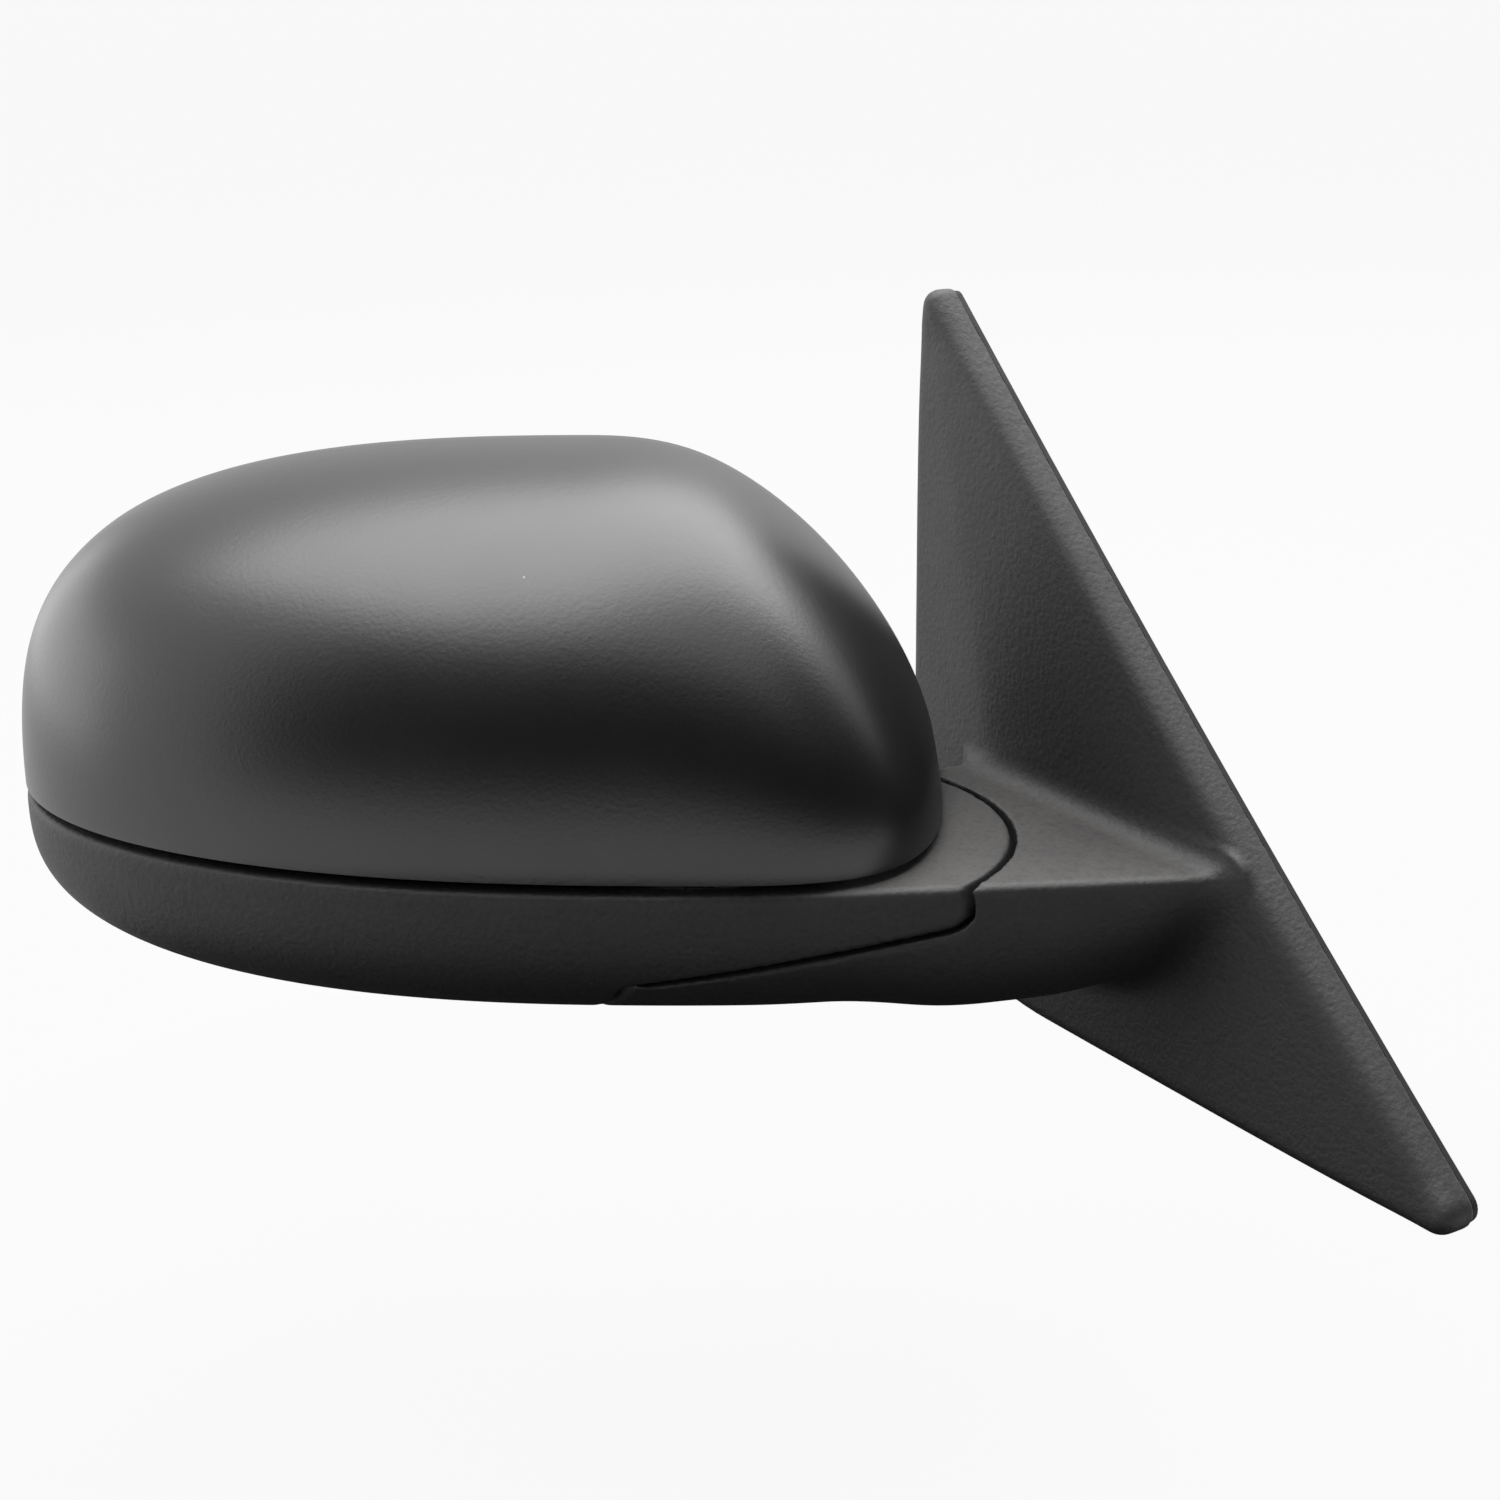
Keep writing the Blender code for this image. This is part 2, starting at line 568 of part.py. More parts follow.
def mount_bracket():
    """Plate behind the sail, with a beam out to the pivot seat."""
    low, high = BEAM_W
    beam = loft([[(u, a, low), (u, b, low), (u, b, high), (u, a, high)] for u, a, b in BEAM])
    join(beam, rod(SEAT_R, SEAT_S[0], SEAT_S[1], LEAN))
    cut(beam, rod(POST_R + FIT, -REACH, REACH, LEAN), rod(POST_FLANGE_R + FIT, -REACH, SEAT_S[0], LEAN))
    for u in COVER_SCREWS:
        spot = Matrix.Translation((u, 0.0, 0.0))
        cut(beam, rod(COVER_SCREW_R + FIT, DRILL_W, COVER_SCREW_TIP + 2.0, spot, PIN_STEPS))
    to_world(beam)
    cut(beam, box((PLATE_X + 1.0, -REACH, -REACH), (REACH, REACH, REACH)))
    bracket = join(sail_body(((0.0, PLATE_INSET, 1.0), (PLATE_X, PLATE_INSET, 1.0))), beam)
    for y, z in STUDS:
        cut(bracket, rod(STUD_HOLE_R, -20.0, 20.0, at_sail(y, z), SLEEVE_STEPS))
    return cut(bracket, rod(GROMMET_HOLE_R, -20.0, 20.0, at_sail(*GROMMET_AT), SLEEVE_STEPS))


def sail_gasket():
    """Seal round the sail's door side."""
    low, high = GASKET_X
    loops = ((low, GASKET_OUT), (high, GASKET_OUT), (high, GASKET_IN), (low, GASKET_IN))
    return loft([[(x, p.x, p.y) for p in sail_outline(inset)] for x, inset in loops], closed=True)


def mounting_stud(y, z):
    """Headed stud that stands out of the bracket towards the door."""
    head = PLATE_X - FIT
    low = head - STUD_HEAD_HIGH
    profile = [(0.0, low), (STUD_HEAD_R, low), (STUD_HEAD_R, head), (STUD_R, head)]
    profile += [(STUD_R, STUD_OUT - 1.0), (STUD_R - 1.0, STUD_OUT), (0.0, STUD_OUT)]
    return lathe(profile, at_sail(y, z), PIN_STEPS)


def harness_grommet():
    """Flanged rubber ring in the bracket's cable hole."""
    body_r = GROMMET_HOLE_R - FIT
    inner = PLATE_X - FIT
    profile = [(body_r, inner), (body_r, -0.4), (GROMMET_BORE_R + 1.5, -0.2), (GROMMET_BORE_R, -1.5)]
    profile += [(GROMMET_BORE_R, inner - 2.0), (body_r + 2.0, inner - 2.0), (body_r + 2.0, inner)]
    return lathe(profile, at_sail(*GROMMET_AT), SLEEVE_STEPS, ring=True)


def headed_screw(head_r, shank_r, head_low, head_high, tip, matrix):
    """Screw along local Z with its head between two heights and its tip past the upper one."""
    profile = [(0.0, head_low), (0.75 * head_r, head_low)]
    profile += [(head_r, (head_low + head_high) / 2.0), (head_r, head_high), (shank_r, head_high)]
    profile += [(shank_r, tip - shank_r), (0.3 * shank_r, tip), (0.0, tip)]
    return lathe(profile, matrix, PIN_STEPS)


def fold_spring():
    """Coil round the post as one unbroken tube, with its least gap between loops printed."""
    count = SPRING_TURNS * SPRING_POINTS
    rings, spine = [], []
    for k in range(count + 1):
        turn = 2.0 * math.pi * k / SPRING_POINTS
        out = Vector((math.cos(turn), math.sin(turn), 0.0))
        rise = SPRING_S[0] + (SPRING_S[1] - SPRING_S[0]) * k / count
        middle = out * SPRING_R + Vector((0.0, 0.0, rise))
        spine.append(middle)
        ring = []
        for i in range(SPRING_SIDES):
            a = 2.0 * math.pi * i / SPRING_SIDES
            up = Vector((0.0, 0.0, math.sin(a)))
            ring.append(middle + (out * math.cos(a) + up) * SPRING_WIRE)
        rings.append(ring)
    half_turn = SPRING_POINTS // 2
    gaps = [(p - q).length for i, p in enumerate(spine) for q in spine[i + half_turn:]]
    print("fold_spring least gap between loops, mm:", round(min(gaps) - 2.0 * SPRING_WIRE, 2))
    return loft(rings, matrix=LEAN)


def bezel():
    """Frame round the glass with a short tunnel into the head."""
    rings = [[(u, v, w) for u, w in rear_loop(inset)] for v, inset in BEZEL_LOOPS]
    return loft(rings, closed=True)


def along_v(u, w):
    """Matrix with local Z along +v at a point of the head."""
    return Matrix.Translation((u, 0.0, w)) @ ALONG_V


def lug_points():
    """Where the actuator's fixing lugs stand, in u and w."""
    turns = [math.radians(t) for t in LUG_TURNS]
    return [(GLASS.x + LUG_ARM * math.cos(t), GLASS.z + LUG_ARM * math.sin(t)) for t in turns]


def carrier_frame():
    """Upright plate that holds the actuator, joined to the hub on the pivot."""
    carrier = loft([[(u, v, w) for u, w in CARRIER] for v in CARRIER_V])
    join(carrier, box(*CARRIER_FOOT), box(*CARRIER_RIB, matrix=LEAN))
    join(carrier, rod(HUB_R, HUB_S[0], HUB_S[1], LEAN))
    cut(carrier, rod(HUB_BORE_R, -REACH, REACH, LEAN))
    for u, w in lug_points():
        cut(carrier, rod(SCREW_SHANK_R + FIT, -20.0, 20.0, along_v(u, w), PIN_STEPS))
    for u, w in CARRIER_WINDOWS:
        cut(carrier, rod(WINDOW_R, -20.0, 20.0, along_v(u, w), SLEEVE_STEPS))
    for u in SKIRT_SCREWS:
        spot = Matrix.Translation((u, SKIRT_SCREW_V, 0.0))
        cut(carrier, rod(SKIRT_SCREW_R + FIT, DRILL_W, SKIRT_SCREW_TIP + 1.0, spot, PIN_STEPS))
    return carrier


def actuator_case(side):
    """One half of the actuator's round case, as a cup that opens to the other half."""
    outer, mouth = (CASE_FRONT_V, CASE_REAR_V[::-1])[side]
    inward = math.copysign(CASE_WALL, mouth - outer)
    profile = [(0.0, outer), (CASE_R, outer), (CASE_R, mouth), (CASE_R - CASE_WALL, mouth)]
    profile += [(CASE_R - CASE_WALL, outer + inward), (0.0, outer + inward)]
    return lathe(profile, along_v(GLASS.x, GLASS.z))


def actuator_case_front():
    """Case half against the carrier, with three fixing lugs."""
    case = actuator_case(0)
    for u, w in lug_points():
        join(case, rod(LUG_R, LUG_V[1], LUG_V[0], along_v(u, w), SLEEVE_STEPS))
        cut(case, rod(SCREW_SHANK_R + FIT, -20.0, 20.0, along_v(u, w), PIN_STEPS))
    return case


def actuator_case_rear():
    """Case half towards the glass, with the jack holes and the central post."""
    case = actuator_case(1)
    middle = along_v(GLASS.x, GLASS.z)
    join(case, rod(BALL_POST_R, BALL_POST_V, CASE_REAR_V[1] + CASE_WALL / 2.0, middle, SLEEVE_STEPS))
    for u, w in jack_points():
        cut(case, rod(JACK_HOLE_R, -REACH, 0.0, along_v(GLASS.x + u, GLASS.z + w), SLEEVE_STEPS))
    return cut(case, rod(STUB_HOLE_R, -20.0, 20.0, Matrix.Translation(GLASS) @ ALONG_U, PIN_STEPS))


def jack_points():
    """Pan and tilt jack places about the glass point, in u and w."""
    return ((JACK_ARM, 0.0), (0.0, -JACK_ARM))


def drive_frame(tilt):
    """Matrix with local Z along a drive's motor axis, from the worm to the motor."""
    if tilt:
        inboard = Matrix.Rotation(-math.pi / 2.0, 4, "Y")
        return Matrix.Translation((GLASS.x, DRIVE_V, GLASS.z - WORM_ARM)) @ inboard
    return Matrix.Translation((GLASS.x + WORM_ARM, DRIVE_V, GLASS.z))


def motor(tilt):
    """Motor can with its shaft."""
    low, high = MOTOR_SPAN
    edge = 0.8
    profile = [(0.0, SHAFT_END), (SHAFT_R, SHAFT_END), (SHAFT_R, low - 1.5), (3.0, low - 1.5), (3.0, low)]
    profile += [(MOTOR_R - edge, low), (MOTOR_R, low + edge), (MOTOR_R, high - edge)]
    profile += [(MOTOR_R - edge, high), (0.0, high)]
    return lathe(profile, drive_frame(tilt), SLEEVE_STEPS)


def worm(tilt):
    """Worm sleeve on the motor shaft."""
    pitch = 2.0 * WORM_HALF / WORM_RIDGES
    profile = [(WORM_BORE_R, WORM_HALF), (WORM_BORE_R, -WORM_HALF)]
    for k in range(WORM_RIDGES):
        low = k * pitch - WORM_HALF
        profile += [(WORM_ROOT_R, low), (WORM_R, low + 0.35 * pitch), (WORM_R, low + 0.65 * pitch)]
    profile.append((WORM_ROOT_R, WORM_HALF))
    return lathe(profile, drive_frame(tilt), PIN_STEPS, ring=True)


def drive_gear(u, w):
    """Toothed nut that drives a jack screw."""
    outer = []
    for k in range(GEAR_TEETH):
        for share, radius in ((0.1, GEAR_ROOT_R), (0.3, GEAR_R), (0.6, GEAR_R), (0.8, GEAR_ROOT_R)):
            turn = 2.0 * math.pi * (k + share) / GEAR_TEETH
            outer.append((radius * math.cos(turn), radius * math.sin(turn)))
    inner = []
    for x, y in outer:
        turn = math.atan2(y, x)
        inner.append((GEAR_BORE_R * math.cos(turn), GEAR_BORE_R * math.sin(turn)))
    loops = [(outer, -GEAR_HALF), (outer, GEAR_HALF), (inner, GEAR_HALF), (inner, -GEAR_HALF)]
    rings = [[(x, y, z) for x, y in points] for points, z in loops]
    where = Matrix.Translation((GLASS.x + u, DRIVE_V, GLASS.z + w)) @ ALONG_V
    return loft(rings, closed=True, matrix=where)


def jack_screw(u, w):
    """Plunger with a ball end that pushes the adjuster plate."""
    low, high = JACK_V[1], JACK_V[0]
    ball = []
    for k in range(7):
        turn = math.radians(-90.0 + 21.0 * k)
        ball.append((JACK_BALL_R * math.cos(turn) if k else 0.0, GLASS.y + JACK_BALL_R * math.sin(turn)))
    edge = 0.8
    profile = ball + [(JACK_NECK_R, low - edge), (JACK_R, low), (JACK_R, high - edge)]
    profile += [(JACK_R - edge, high), (0.0, high)]
    return lathe(profile, along_v(GLASS.x + u, GLASS.z + w), PIN_STEPS)


def gimbal_ring():
    """Ring between the case's post and the adjuster plate, about the glass point."""
    ring = tube(RING_R, RING_BORE_R, -RING_HALF, RING_HALF, ALONG_V, SLEEVE_STEPS)
    for side in (0.0, math.pi):
        inward = Matrix.Rotation(side, 4, "Z") @ ALONG_U
        outward = Matrix.Rotation(side, 4, "Y")
        join(ring, rod(STUB_R, BALL_POST_R - 2.5, RING_BORE_R + 1.0, inward, PIN_STEPS))
        join(ring, rod(STUB_R, RING_R - 1.0, STUB_OUT, outward, PIN_STEPS))
    return ring


def adjuster_plate():
    """Round plate that the jack screws push, about the glass point."""
    plate = tube(PLATE_R, PLATE_EYE_R, PLATE_V[0], PLATE_V[1], ALONG_V)
    join(plate, tube(EYE_WALL_R, PLATE_EYE_R, PLATE_V[0], EYE_TOP, ALONG_V))
    for u, w in jack_points():
        join(plate, rod(CUP_R, PLATE_V[0], CUP_TOP, along_v(u, w), SLEEVE_STEPS))
        cut(plate, rod(CUP_BORE_R, -20.0, 20.0, along_v(u, w), SLEEVE_STEPS))
    return cut(plate, rod(STUB_HOLE_R, -EYE_WALL_R - 2.0, EYE_WALL_R + 2.0, NO_TURN, PIN_STEPS))


def glass_holder():
    """Tray behind the glass with a lip round its edge, about the glass point."""
    tray = plate_of(HOLDER_INSET, HOLDER_LIP_V, HOLDER_V[1], GLASS)
    return cut(tray, plate_of(HOLDER_LIP, 2.0 * HOLDER_LIP_V, HOLDER_V[0], GLASS))


def actuator_socket():
    """Small connector shell on the actuator's side, open inboard."""
    room = Vector((1.5, 1.5, 1.5))
    low = SOCKET_LOW + room
    low.x = SOCKET_LOW.x - room.x
    return cut(box(SOCKET_LOW, SOCKET_HIGH), box(low, SOCKET_HIGH - room))


def build():
    """Make every node and hang it on its frame."""
    satin = finish_material("cap_plastic", (0.018, 0.018, 0.019), 0.34)
    grained = finish_material("grained_plastic", (0.028, 0.028, 0.029), 0.62)
    inner = finish_material("inner_plastic", (0.04, 0.04, 0.042), 0.55)
    nylon = finish_material("white_nylon", (0.72, 0.70, 0.64), 0.45)
    cast = finish_material("cast_aluminium", (0.55, 0.56, 0.58), 0.5, 1.0)
    steel = finish_material("plated_steel", (0.62, 0.61, 0.58), 0.32, 1.0)
    spring = finish_material("spring_steel", (0.22, 0.22, 0.23), 0.4, 1.0)
    rubber = finish_material("rubber", (0.02, 0.02, 0.02), 0.85)
    brass = finish_material("brass", (0.72, 0.53, 0.26), 0.35, 1.0)
    pad = finish_material("heater_film", (0.32, 0.12, 0.05), 0.5)
    mirror = finish_material("mirror_glass", (0.83, 0.85, 0.87), 0.03, 1.0)

    finish(base_cover(), "base_cover", grained)
    finish(mount_bracket(), "mount_bracket", cast)
    finish(sail_gasket(), "sail_gasket", rubber)
    for k, (y, z) in enumerate(STUDS, 1):
        finish(mounting_stud(y, z), f"mounting_stud_{k}", steel)
    finish(harness_grommet(), "harness_grommet", rubber)
    for k, u in enumerate(COVER_SCREWS, 1):
        under = belly_at(u, 0.0) - FIT
        spot = Matrix.Translation((u, 0.0, 0.0))
        low = under - SCREW_HEAD_HIGH
        screw = headed_screw(CASE_SCREW_HEAD_R, COVER_SCREW_R, low, under, COVER_SCREW_TIP, spot)
        finish(to_world(screw), f"cover_screw_{k}", steel)

    post = [(POST_FLANGE_R, POST_FLANGE_S), (POST_FLANGE_R, POST_S[0]), (POST_R, POST_S[0])]
    post += [(POST_R, POST_S[1]), (POST_BORE_R, POST_S[1]), (POST_BORE_R, POST_FLANGE_S)]
    finish(to_world(lathe(post, LEAN, SLEEVE_STEPS, ring=True)), "pivot_post", steel)
    finish(to_world(tube(DETENT_R, BUSH_BORE_R, *DETENT_S, LEAN, SLEEVE_STEPS)), "detent_ring", steel)
    finish(to_world(fold_spring()), "fold_spring", spring)
    retainer = tube(RETAINER_R, BUSH_BORE_R, *RETAINER_S, LEAN, SLEEVE_STEPS)
    finish(to_world(retainer), "spring_retainer", steel)
    finish(to_world(tube(CLIP_R, BUSH_BORE_R, *CLIP_S, LEAN, SLEEVE_STEPS)), "post_clip", spring)

    placed = HEAD.copy()
    placed.translation *= MM
    fold = frame("fold_axis", placed)
    finish(cap_cover(), "cap_cover", satin, fold)
    finish(lower_skirt(), "lower_skirt", grained, fold)
    finish(bezel(), "bezel", grained, fold)
    finish(carrier_frame(), "carrier_frame", inner, fold)
    bush = tube(BUSH_R, BUSH_BORE_R, HUB_S[0], HUB_S[1] - FIT, LEAN, SLEEVE_STEPS)
    finish(bush, "pivot_bush", nylon, fold)
    for k, u in enumerate(SKIRT_SCREWS, 1):
        under = belly_at(u, SKIRT_SCREW_V) - FIT
        spot = Matrix.Translation((u, SKIRT_SCREW_V, 0.0))
        low = under - SCREW_HEAD_HIGH
        screw = headed_screw(CASE_SCREW_HEAD_R, SKIRT_SCREW_R, low, under, SKIRT_SCREW_TIP, spot)
        finish(screw, f"skirt_screw_{k}", steel, fold)
    finish(actuator_case_front(), "actuator_case_front", inner, fold)
    finish(actuator_case_rear(), "actuator_case_rear", inner, fold)
    finish(actuator_socket(), "actuator_socket", nylon, fold, smooth=False)
    for k, (u, w) in enumerate(lug_points(), 1):
        head = LUG_V[1] - FIT
        low = head - SCREW_HEAD_HIGH
        screw = headed_screw(SCREW_HEAD_R, SCREW_SHANK_R, low, head, LUG_SCREW_TIP, along_v(u, w))
        finish(screw, f"actuator_screw_{k}", steel, fold)
    for tilt, (u, w) in enumerate(jack_points()):
        label = ("pan", "tilt")[tilt]
        finish(motor(tilt), f"motor_{label}", steel, fold)
        finish(worm(tilt), f"worm_{label}", brass, fold)
        finish(drive_gear(u, w), f"drive_gear_{label}", nylon, fold)
        finish(jack_screw(u, w), f"jack_screw_{label}", nylon, fold)

    gimbal = frame("glass_axes", Matrix.Translation(GLASS * MM), fold)
    finish(gimbal_ring(), "gimbal_ring", nylon, gimbal)
    finish(adjuster_plate(), "adjuster_plate", inner, gimbal)
    finish(glass_holder(), "glass_holder", inner, gimbal)
    finish(plate_of(HEATER_INSET, *HEATER_V, GLASS), "heater_pad", pad, gimbal)
    finish(plate_of(GLASS_INSET, *GLASS_V, GLASS), "mirror_glass", mirror, gimbal)
    for k, (u, w) in enumerate(TAB_AT, 1):
        low = (u - TAB_HALF[0], TAB_V[0], w - TAB_HALF[1])
        high = (u + TAB_HALF[0], TAB_V[1], w + TAB_HALF[1])
        finish(box(low, high), f"heater_tab_{k}", brass, gimbal, smooth=False)


build()
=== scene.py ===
"""Finished looks of a folding car door mirror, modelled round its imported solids.

Lengths are in millimetres, either in the shared frame or in the head's own frame: u outboard
along the head, v to the front, w up. They become metres when a mesh is placed.
"""

import logging
import math
from bisect import bisect_right
from dataclasses import dataclass, field
from enum import Enum
from typing import Callable, Sequence

import bpy
import numpy as np
from mathutils import Matrix, Vector


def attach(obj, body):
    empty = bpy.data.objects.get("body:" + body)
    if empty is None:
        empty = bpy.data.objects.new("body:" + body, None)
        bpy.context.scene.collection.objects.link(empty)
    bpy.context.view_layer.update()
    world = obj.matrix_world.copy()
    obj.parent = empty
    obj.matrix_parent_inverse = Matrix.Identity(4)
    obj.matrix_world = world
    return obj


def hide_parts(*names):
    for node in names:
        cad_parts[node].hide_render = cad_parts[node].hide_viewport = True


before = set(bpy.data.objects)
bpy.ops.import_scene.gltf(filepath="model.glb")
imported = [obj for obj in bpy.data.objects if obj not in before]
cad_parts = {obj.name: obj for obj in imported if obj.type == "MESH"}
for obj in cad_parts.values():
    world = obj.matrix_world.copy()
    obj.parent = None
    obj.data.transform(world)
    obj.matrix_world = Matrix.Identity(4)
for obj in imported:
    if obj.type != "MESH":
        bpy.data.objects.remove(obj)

LOG = logging.getLogger("door_mirror")
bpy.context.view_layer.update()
MM = 0.001
TURN = 2.0 * math.pi
QUARTER = math.pi / 2.0
UP = Vector((0.0, 0.0, 1.0))
Piece = bpy.types.Object
Node = bpy.types.Node
Socket = bpy.types.NodeSocket
Tree = bpy.types.NodeTree
Material = bpy.types.Material
Pair = tuple[float, float]
Triple = tuple[float, float, float]
Colour = tuple[float, float, float]


class Body(Enum):
    """Moving bodies that the new pieces ride on."""

    BASE = "base"
    HEAD = "head"
    GLASS = "glass"


class Slot(Enum):
    """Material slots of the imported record."""

    CAP = "cap_plastic"
    GRAINED = "grained_plastic"
    INNER = "inner_plastic"
    NYLON = "white_nylon"
    CASTING = "cast_aluminium"
    PLATED = "plated_steel"
    SPRING = "spring_steel"
    RUBBER = "rubber"
    BRASS = "brass"
    FILM = "heater_film"
    MIRROR = "mirror_glass"


class Lay(Enum):
    """Which way fine tool marks run on a metal."""

    EVEN = (1.0, 1.0, 1.0)
    ACROSS = (1.0, 1.0, 14.0)
    ALONG = (14.0, 1.0, 1.0)


def power_arc(ratio: float, power: float) -> float:
    """Height of a rounded-square curve at a share of its half width.

    Args:
        ratio: Share of the half width, from -1 to 1.
        power: 2 is an ellipse, and more is squarer.

    Returns:
        Share of the full height.
    """
    return max(0.0, 1.0 - abs(ratio) ** power) ** (1.0 / power)


def smooth_step(x: float) -> float:
    """Ease from 0 to 1."""
    x = min(max(x, 0.0), 1.0)
    return x * x * (3.0 - 2.0 * x)


def flowing(points: Sequence[Pair], x: float) -> float:
    """Smooth value at x through (x, y) points, with no overshoot and level ends.

    Args:
        points: Knots in rising x.
        x: Where to read the curve.

    Returns:
        The curve's height at x.
    """
    xs = [p[0] for p in points]
    ys = [p[1] for p in points]
    if x <= xs[0] or x >= xs[-1]:
        return ys[0] if x <= xs[0] else ys[-1]
    slopes = [(ys[i + 1] - ys[i]) / (xs[i + 1] - xs[i]) for i in range(len(xs) - 1)]
    turns = [0.0 if a * b <= 0.0 else 2.0 * a * b / (a + b) for a, b in zip(slopes, slopes[1:])]
    tangents = [0.0] + turns + [0.0]
    k = bisect_right(xs, x) - 1
    width = xs[k + 1] - xs[k]
    t = (x - xs[k]) / width
    low = ys[k] * (1 + 2 * t) * (1 - t) ** 2 + tangents[k] * width * t * (1 - t) ** 2
    return low + ys[k + 1] * t * t * (3 - 2 * t) + tangents[k + 1] * width * t * t * (t - 1)


def quarter_turns(steps: int) -> list[float]:
    """Angles from 0 to a right angle, both ends included."""
    return [QUARTER * k / steps for k in range(steps + 1)]


def full_turn(sides: int) -> np.ndarray:
    """Angles spaced evenly once round."""
    return np.linspace(0.0, TURN, sides, endpoint=False)


def axes_frame(x: Vector, y: Vector, z: Vector) -> Matrix:
    """Turn that carries the three axes onto three directions."""
    return Matrix((x, y, z)).transposed().to_4x4()


def shift(u: float, v: float, w: float) -> Matrix:
    """Move by millimetres, as a matrix in metres."""
    return Matrix.Translation((u * MM, v * MM, w * MM))


def eased(start: float, end: float, steps: int) -> list[float]:
    """Stations from start to end that crowd up near the end.

    Args:
        start: First station.
        end: Last station.
        steps: Number of intervals.

    Returns:
        The stations, both ends included.
    """
    return [start + (end - start) * math.sin(turn) for turn in quarter_turns(steps)]


def softened(x: np.ndarray, width: float) -> np.ndarray:
    """Ramp that is 0 below 0 and x above it, with its bend rounded.

    Args:
        x: Distances past the bend.
        width: How far the rounding reaches.

    Returns:
        The rounded ramp.
    """
    return (x + np.sqrt(x * x + width * width)) / 2.0


class Workbench:
    """Operator tools that make and shape one object at a time."""

    ROUND_SIDES = 144
    RIM_STEPS = 6
    WEIGHT_LEVELS = 8
    FULL_LEVEL = 4
    FURTHER_ROUNDS = 6

    @staticmethod
    def fresh(add: Callable[..., set[str]], **settings: object) -> Piece:
        """Add a primitive with nothing else selected.

        Args:
            add: Blender's operator for the primitive.
            settings: Its properties.

        Returns:
            The new object.
        """
        bpy.ops.object.select_all(action="DESELECT")
        add(**settings)
        return bpy.context.object

    @staticmethod
    def take(obj: Piece) -> None:
        """Make one object the only selected and active one."""
        bpy.ops.object.select_all(action="DESELECT")
        obj.select_set(True)
        bpy.context.view_layer.objects.active = obj

    @staticmethod
    def points(obj: Piece) -> np.ndarray:
        """Vertex places of a mesh, one row each."""
        flat = np.empty(len(obj.data.vertices) * 3, np.float32)
        obj.data.vertices.foreach_get("co", flat)
        return flat.reshape(-1, 3).astype(float)

    @staticmethod
    def move_points(obj: Piece, places: np.ndarray) -> None:
        """Put every vertex at its row of places, given in millimetres."""
        obj.data.vertices.foreach_set("co", (places * MM).astype(np.float32).ravel())
        obj.data.update()

    @staticmethod
    def pick(obj: Piece, test: Callable[[Vector, Vector], bool]) -> None:
        """Leave selected only the edges whose two ends pass a test.

        Args:
            obj: Mesh object in object mode.
            test: Takes both ends of an edge.
        """
        bpy.context.tool_settings.mesh_select_mode = (False, True, False)
        mesh = obj.data
        mesh.vertices.foreach_set("select", [False] * len(mesh.vertices))
        mesh.polygons.foreach_set("select", [False] * len(mesh.polygons))
        spots = [vertex.co for vertex in mesh.vertices]
        ends = [[spots[i] for i in edge.vertices] for edge in mesh.edges]
        mesh.edges.foreach_set("select", [test(a, b) for a, b in ends])

    @classmethod
    def close_up(cls, obj: Piece) -> Piece:
        """Merge doubled points and turn every face outwards."""
        cls.take(obj)
        bpy.ops.object.mode_set(mode="EDIT")
        bpy.ops.mesh.select_all(action="SELECT")
        bpy.ops.mesh.remove_doubles(threshold=1e-6)
        bpy.ops.mesh.normals_make_consistent(inside=False)
        bpy.ops.object.mode_set(mode="OBJECT")
        return obj

    @classmethod
    def tube(cls, rings: np.ndarray) -> Piece:
        """Skin a stack of rings, from a cylinder cut into as many bands.

        Args:
            rings: Stations by points by 3, in millimetres.

        Returns:
            A closed body with both ends filled.
        """
        stations, count = rings.shape[:2]
        obj = cls.fresh(
            bpy.ops.mesh.primitive_cylinder_add,
            vertices=count, radius=1.0, depth=1.0, end_fill_type="NGON",
        )
        cls.pick(obj, lambda a, b: abs(a.z - b.z) > 0.5)
        if stations > 2:
            bpy.ops.object.mode_set(mode="EDIT")
            bpy.ops.mesh.subdivide(number_cuts=stations - 2)
            bpy.ops.object.mode_set(mode="OBJECT")
        local = cls.points(obj)
        turn = np.arctan2(local[:, 1], local[:, 0])
        row = np.rint((local[:, 2] + 0.5) * (stations - 1)).astype(int)
        column = np.rint((turn - turn[0]) / TURN * count).astype(int) % count
        cls.move_points(obj, rings[row, column])
        return cls.close_up(obj)

    @classmethod
    def band(cls, loops: np.ndarray) -> Piece:
        """Skin a closed run of loops, from a torus of as many sides.

        Args:
            loops: Loops round the section by points along each by 3, in millimetres.

        Returns:
            A closed ring-shaped body.
        """
        sides, count = loops.shape[:2]
        major_r = 2.0
        obj = cls.fresh(
            bpy.ops.mesh.primitive_torus_add,
            major_segments=count, minor_segments=sides, major_radius=major_r, minor_radius=1.0,
        )
        local = cls.points(obj)
        along = np.arctan2(local[:, 1], local[:, 0])
        tilt = np.arctan2(local[:, 2], np.hypot(local[:, 0], local[:, 1]) - major_r)
        column = np.rint(along / TURN * count).astype(int) % count
        row = np.rint(tilt / TURN * sides).astype(int) % sides
        cls.move_points(obj, loops[row, column])
        return cls.close_up(obj)

